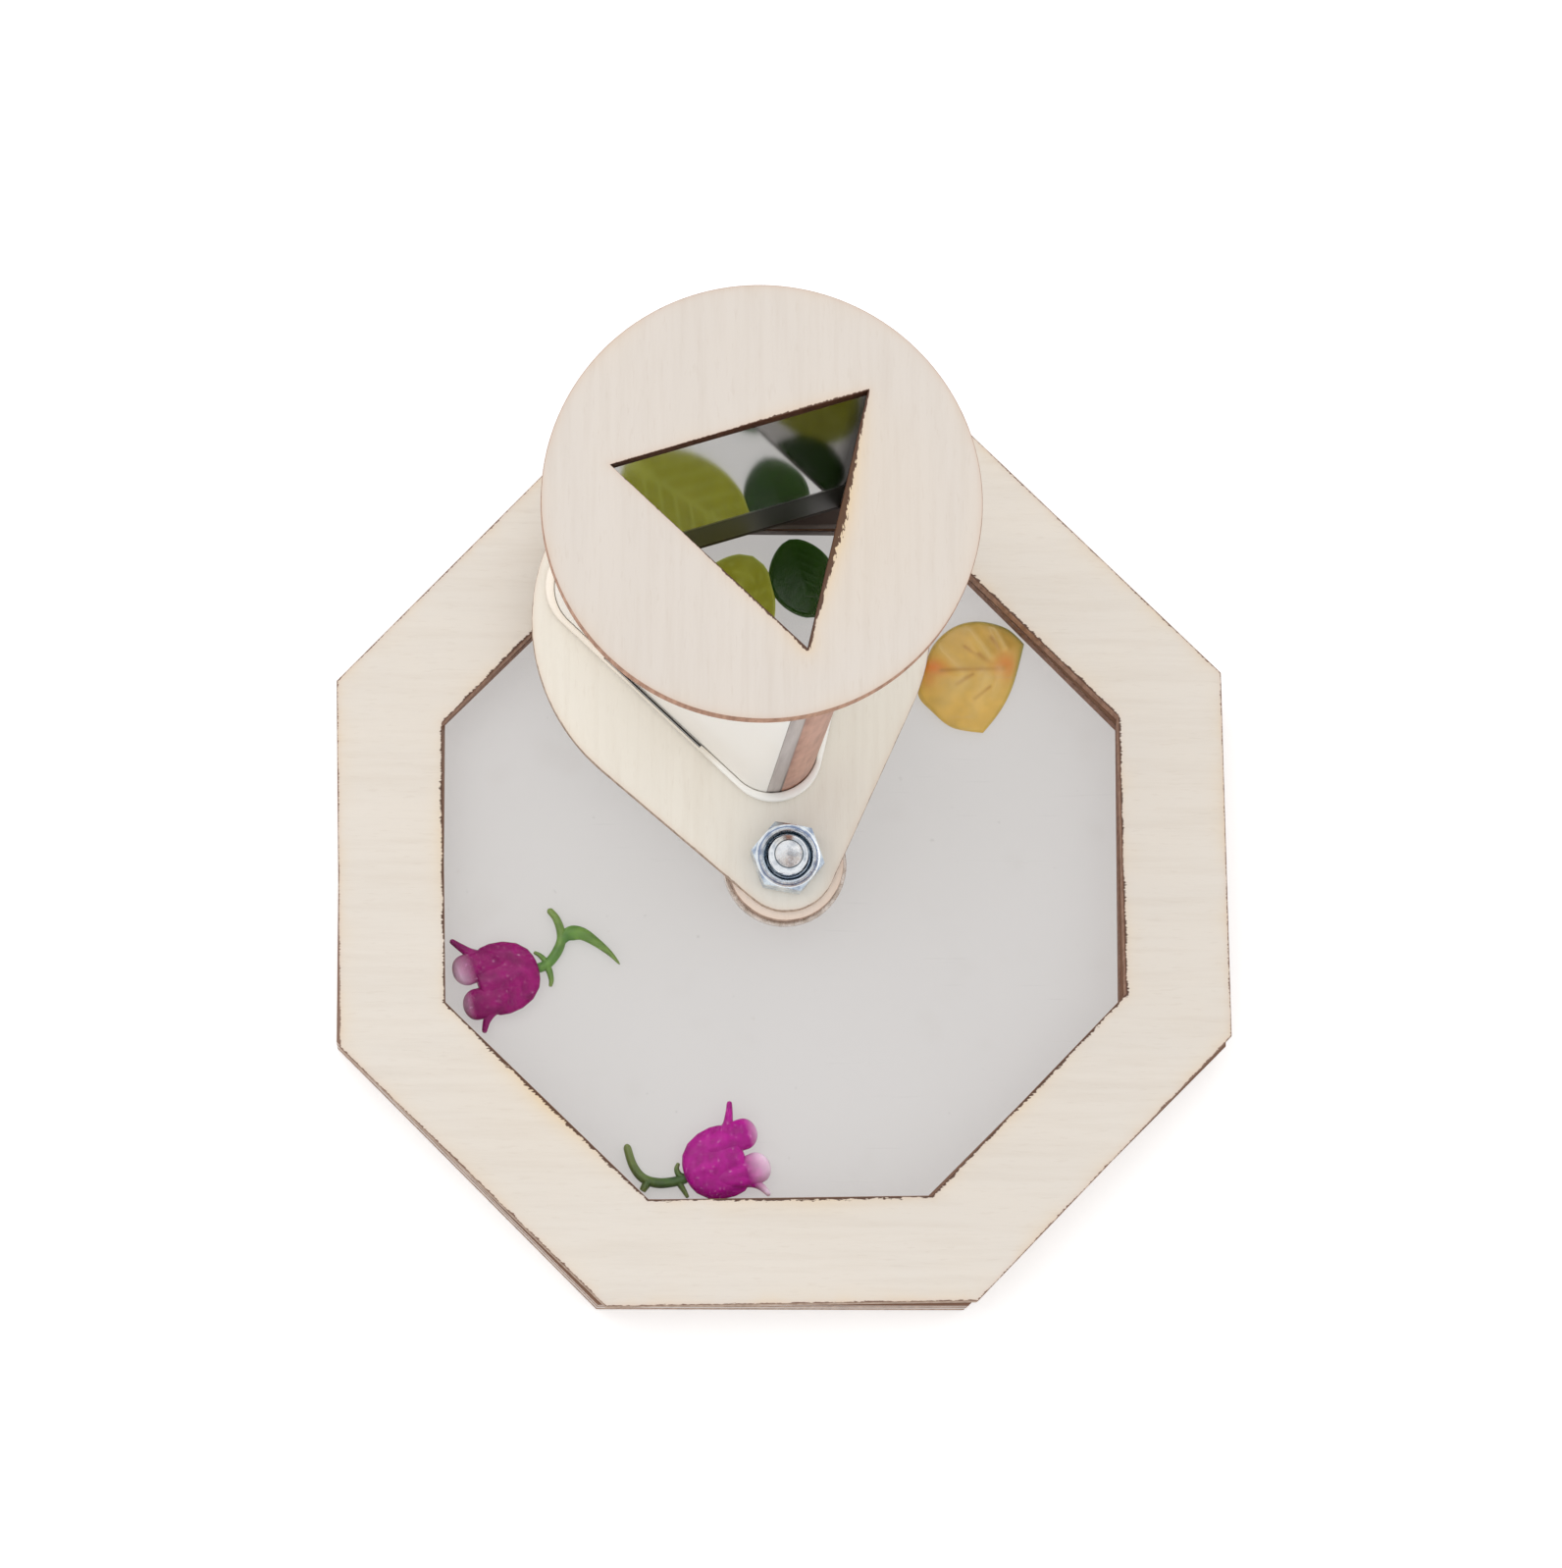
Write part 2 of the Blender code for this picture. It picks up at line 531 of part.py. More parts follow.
def make_tube(parts, tube):
    """Three mirror strips in a seamed sleeve, with a rim round its foot and the eyepiece on top."""
    mirror_out = MIRROR_INRADIUS + MIRROR_THICKNESS / 2
    for name, side in (("mirror_left", 0), ("mirror_right", 1), ("mirror_far", 2)):
        angle = TUBE_TURN + (side + 0.5) * math.tau / 3
        mesh = bpy.data.meshes.new(name)
        edit = bmesh.new()
        bmesh.ops.create_cube(edit, size=1)
        bmesh.ops.scale(edit, verts=edit.verts, vec=(MIRROR_THICKNESS, MIRROR_WIDTH, TUBE_LENGTH))
        edit.to_mesh(mesh)
        edit.free()
        strip = new_object(name, mesh, parts, mirror_material(name + "_glass"))
        strip.location.x = mirror_out * math.cos(angle)
        strip.location.y = mirror_out * math.sin(angle)
        strip.location.z = TUBE_BOTTOM + TUBE_LENGTH / 2
        strip.rotation_euler.z = angle
        strip.parent = tube
    sleeve = plate("sleeve", [open_sleeve()], TUBE_LENGTH, TUBE_BOTTOM, parts,
                   make_material("sleeve_white", linear_colour(236, 230, 220), 0.35))
    sleeve.parent = tube
    foot = plate("tube_foot", [rounded_triangle(FOOT_INRADIUS, FOOT_CORNER), foot_opening()], FOOT_THICKNESS,
                 TUBE_BOTTOM, parts, make_material("foot_white", linear_colour(238, 234, 226), 0.35))
    foot.parent = tube
    disc_outlines = [circle(TUBE_END_RADIUS, CIRCLE_STEPS), triangle(EYE_HOLE_REACH / 2, TUBE_TURN)]
    disc = plate("eyepiece_disc", disc_outlines, PLY_THICKNESS, DISC_BOTTOM, parts,
                 ply_material("eyepiece_ply"))
    disc.parent = tube


def make_tulip(parts, name, place, angle, stem_shares, stem_sharp_points):
    """One tulip charm, lying flat: a magenta bell and a green stem that meet at the bell's base."""
    holder = empty(name, (place[0], place[1], CHARM_BOTTOM), parts)
    holder.rotation_euler.z = angle
    petals = plate(name + "_bell", [bell()], BELL_THICKNESS, 0, parts,
                   make_material(name + "_petals", linear_colour(150, 40, 120), 0.3), bell_sharp_points())
    petals.parent = holder
    stem = plate(name + "_stem", [scaled(stem_shares, STEM_SIZE)], STEM_THICKNESS, 0, parts,
                 make_material(name + "_green", linear_colour(85, 120, 60), 0.4), set(stem_sharp_points))
    stem.parent = holder


def make_leaves(parts):
    amber_outline = scaled(AMBER_LEAF_SHARES, AMBER_LEAF_SIZE)
    amber_look = make_material("amber", linear_colour(205, 155, 75), 0.25)
    amber = plate("amber_leaf", [amber_outline], AMBER_LEAF_THICKNESS, CHARM_BOTTOM, parts, amber_look,
                  set(AMBER_LEAF_SHARP_POINTS))
    amber_out = WINDOW_INRADIUS - AMBER_LEAF_FROM_WALL_SHARE * AMBER_LEAF_SIZE
    amber.location.x = amber_out * math.cos(math.pi / 4)
    amber.location.y = amber_out * math.sin(math.pi / 4)
    for name, (place, length, width, angle) in GREEN_LEAF_SHARES.items():
        lime = name.startswith("lime")
        colour = linear_colour(130, 140, 45) if lime else linear_colour(40, 75, 30)
        outline = leaf(length * GREEN_LEAF_SIZE, width * GREEN_LEAF_SIZE)
        piece = plate(name, [outline], GREEN_LEAF_THICKNESS, CHARM_BOTTOM, parts,
                      make_material(name + "_green", colour, 0.35))
        piece.location.x = place[0] * GREEN_LEAF_SIZE
        piece.location.y = WINDOW_INRADIUS + place[1] * GREEN_LEAF_SIZE
        piece.rotation_euler.z = angle


def main():
    for old in list(bpy.data.objects):
        bpy.data.objects.remove(old)
    parts = bpy.data.collections.new("kaleidoscope")
    cutters = bpy.data.collections.new("cutters")
    bpy.context.scene.collection.children.link(parts)
    bpy.context.scene.collection.children.link(cutters)
    pivot = empty("arm_pivot", PIVOT, parts)
    tube = empty("tube_axis", TUBE_AXIS, parts, pivot)
    make_chamber(parts)
    make_bolt(parts, cutters)
    make_nut(parts, cutters)
    make_arm(parts, pivot)
    make_tube(parts, tube)
    left_place = (TULIP_LEFT_FROM_WALL_SHARE * BELL_LENGTH - WINDOW_INRADIUS,
                  TULIP_LEFT_ALONG_WALL_SHARE * WINDOW_INRADIUS)
    make_tulip(parts, "tulip_left", left_place, TULIP_LEFT_ANGLE, STEM_LEFT_SHARES, STEM_LEFT_SHARP_POINTS)
    low_place = (TULIP_LOW_ALONG_WALL_SHARE * WINDOW_INRADIUS,
                 TULIP_LOW_FROM_WALL_SHARE * BELL_WIDTH - WINDOW_INRADIUS)
    make_tulip(parts, "tulip_low", low_place, TULIP_LOW_ANGLE, STEM_LOW_SHARES, STEM_LOW_SHARP_POINTS)
    make_leaves(parts)
    bpy.context.view_layer.update()


main()
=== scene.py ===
"""The looks of a plywood kaleidoscope: an octagonal chamber of loose charms under an upright mirror tube.

Metres, +Z up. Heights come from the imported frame, and the sizes below are the real ones of each piece.
"""
import math

import bmesh
import bpy
import numpy as np
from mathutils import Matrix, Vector


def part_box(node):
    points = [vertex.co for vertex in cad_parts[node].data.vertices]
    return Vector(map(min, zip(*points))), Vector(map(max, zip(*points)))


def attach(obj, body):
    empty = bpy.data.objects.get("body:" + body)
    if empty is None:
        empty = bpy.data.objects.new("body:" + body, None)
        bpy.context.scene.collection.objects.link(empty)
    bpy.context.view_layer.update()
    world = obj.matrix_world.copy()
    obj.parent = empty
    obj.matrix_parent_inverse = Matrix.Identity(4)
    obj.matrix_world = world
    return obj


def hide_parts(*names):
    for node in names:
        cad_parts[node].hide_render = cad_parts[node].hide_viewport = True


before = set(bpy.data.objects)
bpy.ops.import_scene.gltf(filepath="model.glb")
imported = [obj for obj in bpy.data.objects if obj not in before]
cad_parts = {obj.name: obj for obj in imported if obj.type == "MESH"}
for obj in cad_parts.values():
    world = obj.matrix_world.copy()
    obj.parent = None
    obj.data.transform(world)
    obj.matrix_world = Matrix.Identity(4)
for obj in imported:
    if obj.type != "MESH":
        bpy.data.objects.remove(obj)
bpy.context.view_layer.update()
MM = 0.001
TAU = math.tau

# Chamber sizes
WINDOW_INRADIUS = 42.55 * MM
FRONT_RING_TURN = math.radians(1.0)
PIVOT = np.array([0, -1.0]) * MM
BOLT_RADIUS = 2.5 * MM
BOLT_HOLE_RADIUS = 2.6 * MM
THREAD_PITCH = 0.8 * MM

# Arm and tube sizes
TUBE_AXIS = np.array([-6.8, 29.3]) * MM
TUBE_TURN = math.radians(166.9)
ARM_TIP_RADIUS = 6.3 * MM
END_RADIUS = 25.0 * MM
LIGHT_INRADIUS = 10.1 * MM
EYE_INRADIUS = 8.815 * MM
SLEEVE_INRADIUS = 14.2 * MM
SLEEVE_CORNER = 5.79 * MM
SLEEVE_WALL = 0.6 * MM
SEAM_START = math.radians(-16.0)
SEAM_END = math.radians(-96.0)
FOOT_OUTER_INRADIUS = 14.95 * MM
FOOT_OUTER_CORNER = 6.1 * MM
FOOT_GAP = 0.03 * MM
SLOT_HALF = 8.2 * MM
SLOT_DEPTH = 0.42 * MM
SLOT_PLACE = (-14.5 * MM, 17.0 * MM, 16.3 * MM)
MIRROR_HALF = 17.19 * MM

# The amber leaf: its place, and its outline in shares of its size
AMBER_LEAF_PLACE = np.array([24.18, 24.18]) * MM
AMBER_LEAF_SIZE = 14.0 * MM
AMBER_LEAF_SHARES = [
    (0.080, 0.527), (-0.144, 0.478), (-0.320, 0.332), (-0.409, 0.149), (-0.484, -0.138), (-0.354, -0.311),
    (-0.167, -0.456), (0.107, -0.501), (0.267, -0.297), (0.388, -0.053), (0.488, 0.318), (0.330, 0.463),
]
AMBER_LEAF_CORNERS = (7, 10)


# Outlines
def unit(angle):
    """The flat direction at an angle, or one for each of several angles."""
    return np.stack([np.cos(angle), np.sin(angle)], -1)


def side_heading(side):
    """The angle that a flat side of the tube faces."""
    return TUBE_TURN + (side + 0.5) * TAU / 3


def polygon_outline(sides, inradius, turn, per_side, centre=(0, 0)):
    """Points along a regular polygon's sides, in equal steps."""
    corners = inradius / math.cos(math.pi / sides) * unit(turn + TAU * (np.arange(sides + 1) + 0.5) / sides)
    share = (np.arange(per_side) / per_side)[None, :, None]
    points = corners[:-1, None] * (1 - share) + corners[1:, None] * share
    return points.reshape(-1, 2) + centre


def cross(first, second):
    return first[..., 0] * second[..., 1] - first[..., 1] * second[..., 0]


def ray_outline(centre, directions, outline):
    """Where rays from a centre leave a convex outline."""
    rays = unit(directions)[:, None]
    start = (outline - centre)[None]
    step = np.roll(start, -1, 1) - start
    turn = cross(rays, step)
    turn = np.where(np.abs(turn) < 1e-15, 1e-15, turn)
    share = cross(start, rays) / turn
    reach = cross(start, step) / turn
    reach = np.where((share > -1e-6) & (share < 1 + 1e-6) & (reach > 0), reach, 0).max(1)
    return centre + rays[:, 0] * reach[:, None]


def fan_directions(count, corners=()):
    """Evenly spaced angles, with each corner's own among them."""
    angles = np.concatenate([TAU * np.arange(count) / count, np.mod(corners, TAU)])
    return np.unique(np.round(angles, 6))


def teardrop_outline():
    """The bracket's outline: a circle round the tube, one round the bolt, and their tangents."""
    run = TUBE_AXIS - PIVOT
    heading = math.atan2(run[1], run[0])
    tangent = math.acos((ARM_TIP_RADIUS - END_RADIUS) / np.linalg.norm(run))
    end = TUBE_AXIS + END_RADIUS * unit(np.linspace(heading - tangent, heading + tangent, 240))
    tip = PIVOT + ARM_TIP_RADIUS * unit(np.linspace(heading + tangent, heading + TAU - tangent, 60))
    return np.concatenate([end, tip])


def tube_outline(inradius, corner_radius, first, last, notch=0.0):
    """A rounded triangle round the tube, between two normal angles. A notch moves its sides' middles out."""
    points = []
    third = TAU / 3
    inset = inradius - corner_radius
    reach = math.sqrt(3) * inset * 0.85
    flat = np.array([-reach, -SLOT_HALF - 1e-5, -SLOT_HALF, 0.0, SLOT_HALF, SLOT_HALF + 1e-5, reach])
    out = inradius + notch * (np.abs(flat) <= SLOT_HALF)
    corner = math.floor((first - TUBE_TURN) / third + 0.5)
    while TUBE_TURN + (corner - 0.5) * third < last - 1e-9:
        heading = TUBE_TURN + corner * third
        side = heading + third / 2
        turn = np.linspace(max(first, side - third), min(last, side), 24)
        points.append(TUBE_AXIS + 2 * inset * unit(heading) + corner_radius * unit(turn))
        if side < last - 1e-9:
            points.append(TUBE_AXIS + out[:, None] * unit(side) + flat[:, None] * unit(side + TAU / 4))
        corner += 1
    return np.concatenate(points)


def cubic(start, end, leave, arrive, share):
    """Places on cubic spans, each with its own ends and the tangents there."""
    return ((2 * share ** 3 - 3 * share ** 2 + 1) * start + (share ** 3 - 2 * share ** 2 + share) * leave
            + (3 * share ** 2 - 2 * share ** 3) * end + (share ** 3 - share ** 2) * arrive)


def smooth_outline(places, per_span, sharp=()):
    """A closed curve through the places, with corners at the sharp ones."""
    places = np.asarray(places, float)
    tangents = (np.roll(places, -1, 0) - np.roll(places, 1, 0)) / 2
    tangents[list(sharp)] = 0
    share = (np.arange(per_span) / per_span)[None, :, None]
    start, end = places[:, None], np.roll(places, -1, 0)[:, None]
    leave, arrive = tangents[:, None], np.roll(tangents, -1, 0)[:, None]
    return cubic(start, end, leave, arrive, share).reshape(-1, 2)


def turn_and_move(points, angle, place):
    return points @ unit(np.array([angle, angle + TAU / 4])) + place


def outline_distance(points, outline):
    """Each point's distance to a closed outline."""
    step = np.roll(outline, -1, 0) - outline
    offset = points[..., None, :] - outline
    share = np.clip((offset * step).sum(-1) / np.maximum((step ** 2).sum(-1), 1e-18), 0, 1)
    return np.sqrt(((offset - share[..., None] * step) ** 2).sum(-1).min(-1))


# Meshes
def add_object(name, data):
    piece = bpy.data.objects.new(name, data)
    bpy.context.scene.collection.objects.link(piece)
    return piece


def grid_object(name, points, close_rows=True, close_columns=True, channels=None, sharp_angle=30.0):
    """A mesh of quads through points[row, column], with named values. Points at one place are merged."""
    rows, columns = points.shape[:2]
    index = np.arange(rows * columns).reshape(rows, columns)
    down = np.roll(index, -1, 0)
    quads = np.stack([index, np.roll(index, -1, 1), np.roll(down, -1, 1), down], -1)
    quads = quads[: rows if close_rows else rows - 1, : columns if close_columns else columns - 1]
    mesh = bpy.data.meshes.new(name)
    mesh.from_pydata(points.reshape(-1, 3).tolist(), [], quads.reshape(-1, 4).tolist())
    for channel, values in (channels or {}).items():
        layer = mesh.attributes.new(channel, "FLOAT", "POINT")
        layer.data.foreach_set("value", np.broadcast_to(values, (rows, columns)).astype(np.float32).ravel())
    edit = bmesh.new()
    edit.from_mesh(mesh)
    bmesh.ops.remove_doubles(edit, verts=edit.verts, dist=1e-7)
    bmesh.ops.dissolve_degenerate(edit, edges=edit.edges, dist=1e-8)
    bmesh.ops.recalc_face_normals(edit, faces=edit.faces)
    edit.to_mesh(mesh)
    edit.free()
    mesh.shade_smooth()
    mesh.set_sharp_from_angle(angle=math.radians(sharp_angle))
    return add_object(name, mesh)


def join(name, pieces):
    """Join several pieces into one object."""
    with bpy.context.temp_override(active_object=pieces[0], selected_editable_objects=pieces):
        bpy.ops.object.join()
    pieces[0].name = name
    return pieces[0]


def coat(piece, material):
    piece.data.materials.clear()
    piece.data.materials.append(material)


def dress(piece, body, material, slot, *nodes):
    """Give a piece its material and body, and let it stand for its CAD nodes."""
    coat(piece, material)
    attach(piece, body)
    if nodes:
        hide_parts(*nodes)


def board(name, outer, inner, node, round_over=0.09 * MM):
    """A board between two outlines, with eased edges.

    Its values are the distance to the nearest cut in millimetres, whether a point lies in a cut wall and
    whether nearer the inner one, and the height through the board.
    """
    low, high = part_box(node)
    insets = np.array([1.0, 2.2, 4.0, 8.0, 16.0, 34.0]) * round_over
    corner = round_over * (1 - math.sqrt(0.5))
    upper = [(0.0, z, 1.0) for z in np.linspace(low.z + round_over, high.z - round_over, 5)]
    upper += [(corner, high.z - corner, 0.8)] + [(inset, high.z, 0.0) for inset in insets]
    lower = [(corner, low.z + corner, 0.8)] + [(inset, low.z, 0.0) for inset in insets]
    rows = [(*row, 0) for row in upper] + [(*row, 1) for row in upper[::-1] + lower]
    rows += [(*row, 0) for row in lower[::-1]]
    inset, height, wall, inside = np.array(rows).T[..., None]
    share = np.minimum(inset / np.linalg.norm(inner - outer, axis=1), 0.45)
    share = np.where(inside > 0, 1 - share, share)[..., None]
    flat = outer * (1 - share) + inner * share
    cut = np.minimum(outline_distance(flat, outer), outline_distance(flat, inner)) / MM
    depth = (height - low.z) / (high.z - low.z)
    points = np.dstack([flat, np.broadcast_to(height, flat.shape[:2])])
    return grid_object(name, points, channels={"cut": cut, "wall": wall, "inside": inside, "depth": depth})


def pod(name, path, half_width, half_depth, ribs=0, rib_share=0.0, power=1.0, around=40, pale=1.0):
    """A closed pod along a path: oval sections, their rise raised to a power and swollen by the ribs."""
    direction = np.gradient(path, axis=0)
    across = np.stack([-direction[:, 1], direction[:, 0], np.zeros(len(path))], 1)
    across /= np.linalg.norm(across, axis=1)[:, None]
    angle = TAU * np.arange(around) / around
    rib = np.cos(ribs * np.arccos(np.clip(np.cos(angle), -1, 1)))
    rise = np.sign(np.sin(angle)) * np.abs(np.sin(angle)) ** power * (1 + rib_share * rib)
    points = path[:, None] + np.cos(angle)[:, None] * (half_width[:, None] * across)[:, None]
    points[..., 2] += rise * half_depth[:, None]
    channels = {"along": np.linspace(0, 1, len(path))[:, None] * pale, "rib": rib}
    return grid_object(name, points, close_rows=False, channels=channels, sharp_angle=60)


# Shader helpers
EVEN = (1, 1, 1)


class Field:
    """A value, colour or vector in a node tree. What is done with it adds the nodes for that."""

    def __init__(self, nodes, socket):
        self.nodes = nodes
        self.socket = socket

    def __add__(self, other):
        return self.nodes.math("ADD", self, other)

    def __sub__(self, other):
        return self.nodes.math("SUBTRACT", self, other)

    def __mul__(self, other):
        return self.nodes.math("MULTIPLY", self, other)

    def __abs__(self):
        return self.nodes.math("ABSOLUTE", self)

    def max(self, other):
        return self.nodes.math("MAXIMUM", self, other)

    def span(self, low, high, to_low=0.0, to_high=1.0):
        """The value mapped from one range to another, held at both ends."""
        return self.nodes.field("ShaderNodeMapRange", 0, {
            "Value": self, "From Min": low, "From Max": high, "To Min": to_low, "To Max": to_high})

    def bump(self, distance, strength):
        return self.nodes.field("ShaderNodeBump", 0, {
            "Height": self, "Distance": distance, "Strength": strength})


class Nodes:
    """A node tree: short calls that add a node and wire it up."""

    def __init__(self, tree):
        self.tree = tree

    def feed(self, socket, value):
        if isinstance(value, Field):
            self.tree.links.new(value.socket, socket)
        elif value is not None:
            socket.default_value = value

    def node(self, kind, inputs, **settings):
        node = self.tree.nodes.new(kind)
        for key, value in settings.items():
            setattr(node, key, value)
        for key, value in inputs.items():
            self.feed(node.inputs[key], value)
        return node

    def field(self, kind, output, inputs=None, **settings):
        return Field(self, self.node(kind, inputs or {}, **settings).outputs[output])

    def attribute(self, name):
        return self.field("ShaderNodeAttribute", "Fac", attribute_name=name)

    def math(self, operation, first, second=0.0):
        return self.field("ShaderNodeMath", 0, {0: first, 1: second}, operation=operation)

    def vector(self, operation, first, second=None, **more):
        output = "Value" if operation in ("DOT_PRODUCT", "DISTANCE") else "Vector"
        inputs = {0: first, 1: second, **more}
        return self.field("ShaderNodeVectorMath", output, inputs, operation=operation)

    def place(self, stretch=EVEN):
        """Object coordinates, each axis multiplied by its stretch."""
        coordinates = self.field("ShaderNodeTexCoord", "Object")
        return self.field("ShaderNodeMapping", 0, {"Vector": coordinates, "Scale": stretch})

    def level(self, direction, start=0.0):
        """How far a place lies along a direction from the origin, less a start."""
        return self.vector("DOT_PRODUCT", self.place(), direction) - start

    def near(self, centre, reach, strength=1.0):
        """A spot that falls evenly from its strength at the centre to nothing at its reach."""
        return self.vector("DISTANCE", self.place(), centre).span(0.0, reach, strength, 0.0)

    def noise(self, stretch, scale, detail=3.0, roughness=0.55, offset=0.0):
        """Noise on stretched object coordinates, moved by an offset."""
        vector = self.place(stretch)
        if offset:
            vector = self.vector("ADD", vector, self.vector("SCALE", (1, 0.7, 0.3), Scale=offset))
        return self.field("ShaderNodeTexNoise", "Fac", {
            "Vector": vector, "Scale": scale, "Detail": detail, "Roughness": roughness})

    def mix(self, share, first, second, blend="MIX"):
        return self.field("ShaderNodeMix", 2, {0: share, 6: first, 7: second},
                          data_type="RGBA", blend_type=blend)

    def paint(self, colour, *coats):
        """A colour with coats laid over it in turn, each a share and a colour."""
        for share, other in coats:
            colour = self.mix(share, colour, other)
        return colour

    def ray(self, kind):
        return self.field("ShaderNodeLightPath", f"Is {kind} Ray")


class Shader(Nodes):
    """A material's own nodes, and the effects that it shares with others."""

    def __init__(self, name):
        self.material = bpy.data.materials.new(name)
        self.material.use_nodes = True
        super().__init__(self.material.node_tree)

    def set(self, **values):
        """Feed the material's main shader, and give the material."""
        for name, value in values.items():
            self.feed(self.tree.nodes["Principled BSDF"].inputs[name.replace("_", " ")], value)
        return self.material

    def effect(self, build, **values):
        """Place an effect's node group with this material's own values. Its first use builds it."""
        titles = {key: key.replace("_", " ").title() for key in values}
        tree = bpy.data.node_groups.get(build.__name__)
        if tree is None:
            tree = bpy.data.node_groups.new(build.__name__, "ShaderNodeTree")
            for key, value in values.items():
                tree.interface.new_socket(titles[key], in_out="INPUT", socket_type=socket_kind(value))
            entry = tree.nodes.new("NodeGroupInput")
            way_out = tree.nodes.new("NodeGroupOutput")
            inner = Nodes(tree)
            results = build(inner, **{key: Field(inner, entry.outputs[titles[key]]) for key in values})
            for title, result in results.items():
                tree.interface.new_socket(title, in_out="OUTPUT", socket_type=socket_kind(result))
                inner.feed(way_out.inputs[title], result)
        inputs = {titles[key]: value for key, value in values.items()}
        holder = self.node("ShaderNodeGroup", inputs, node_tree=tree)
        return [Field(self, socket) for socket in holder.outputs]


def socket_kind(value):
    """The kind of group socket that a value or a field needs."""
    if isinstance(value, Field):
        kinds = {"VALUE": "NodeSocketFloat", "RGBA": "NodeSocketColor", "VECTOR": "NodeSocketVector"}
        return kinds[value.socket.type]
    if isinstance(value, (int, float)):
        return "NodeSocketFloat"
    return "NodeSocketColor" if len(value) == 4 else "NodeSocketVector"


def tone(red, green, blue):
    """A display colour of 0 to 255 as the linear colour that a shader takes."""
    linear = [(value / 255 / 12.92) if value < 10.3 else (((value / 255) + 0.055) / 1.055) ** 2.4
              for value in (red, green, blue)]
    return (*linear, 1.0)


# Materials
def cut_ply(net, grain, face, outer_wall, inner_wall, halo, seed, hot, soot, least, most, heat):
    """Birch ply: a pale face with flecks along the grain, scorched at each cut and brown in the wall."""

    def stretched(floor):
        return net.vector("MAXIMUM", grain, (floor, floor, floor))

    def fade(rate):
        return net.math("POWER", 2.718, cut * -rate)

    broad = net.noise(grain, 140, 2, offset=seed).span(0.3, 0.7)
    lines = net.noise(grain, 900, 4, 0.6, offset=seed + 1)
    flecks = net.noise(stretched(0.16), 2600, 2, offset=seed + 2).span(0.60, 0.72)
    fine = net.noise(stretched(0.12), 5200, 2, offset=seed + 3)
    dark = net.mix(1.0, face, (0.90, 0.875, 0.85, 1), "MULTIPLY")
    light = net.mix(1.0, face, (1.03, 1.03, 1.03, 1), "MULTIPLY")
    # Scorch: a warm halo that fades over a few millimetres, then a narrow dark line at the cut itself
    cut = net.attribute("cut")
    inside = net.attribute("inside")
    cloud = net.noise(EVEN, 160, 3, offset=seed + 4).span(0.35, 0.7)
    hot = hot.max(cloud * 0.05)
    warmth = (cloud * halo).max(hot * 0.7)
    rough = net.noise(stretched(0.3), 4200, 3, offset=seed + 5)
    patchy = net.noise(EVEN, 420, 2, offset=seed + 8).span(0.35, 0.65, 0.6, 1.2)
    width = rough.span(0.3, 0.75, least, most) * patchy + hot * rough.span(0.3, 0.7, 0.5, 1.1) * heat
    edge = (width * inside.span(0, 1, 0.6, 1.0) - cut).span(0, 0.09)
    burn = net.mix(inside, tone(116, 84, 70), tone(78, 46, 31))
    # Cut wall: brown streaks through the board and the darker glue lines between its three plies
    streaks = net.noise((1, 1, 0.12), 1500, 3, offset=seed + 6).span(0.3, 0.7)
    level = (net.attribute("depth") + 0.5 / 3) * 3
    ply_line = abs(net.math("FRACT", level) - 0.5)
    wall_colour = net.mix(inside, outer_wall, inner_wall)
    wall_dark = net.mix(1.0, wall_colour, tone(170, 150, 138), "MULTIPLY")
    wall_colour = net.paint(wall_colour, (streaks * 0.7, wall_dark),
                            (ply_line.span(0.0, 0.12, 0.45, 0), wall_dark))
    # The last coat is painted shade: a dark spot where the tube's shade falls on the rings.
    colour = net.paint(
        light, (broad, face), (lines.span(0.45, 0.75, 0, 0.42), dark), (flecks * 0.34, dark),
        (fade(0.8) * warmth, tone(240, 198, 116)), (fade(3.0) * 0.30, tone(206, 158, 124)),
        (edge * 0.94, burn), (net.attribute("wall"), wall_colour), (soot, tone(100, 88, 84)))
    return {"Color": colour, "Height": fine * 0.6 + lines * 0.6}


def plywood(name, grain, face, outer_wall, inner_wall, halo=0.2, seed=0, scorches=(), soot=None,
            char=(0.06, 0.24, 0.30)):
    """One board's ply.

    A scorch and the painted shade are a place, a reach and a strength; the painted shade is a dark spot
    where the tube's shade falls. The char gives the dark line's least and greatest width in millimetres,
    and the most that a scorch adds.
    """
    shader = Shader(name)
    hot = 0.0
    for scorch in scorches:
        hot = shader.near(*scorch).max(hot)
    spot = shader.near(*soot).span(0.0, 0.4) if soot else 0.0
    least, most, heat = char
    colour, height = shader.effect(
        cut_ply, grain=grain, face=face, outer_wall=outer_wall, inner_wall=inner_wall, halo=halo, seed=seed,
        hot=hot, soot=spot, least=least, most=most, heat=heat)
    return shader.set(Base_Color=colour, Roughness=0.62, Specular_IOR_Level=0.25,
                      Normal=height.bump(0.05 * MM, 0.5))


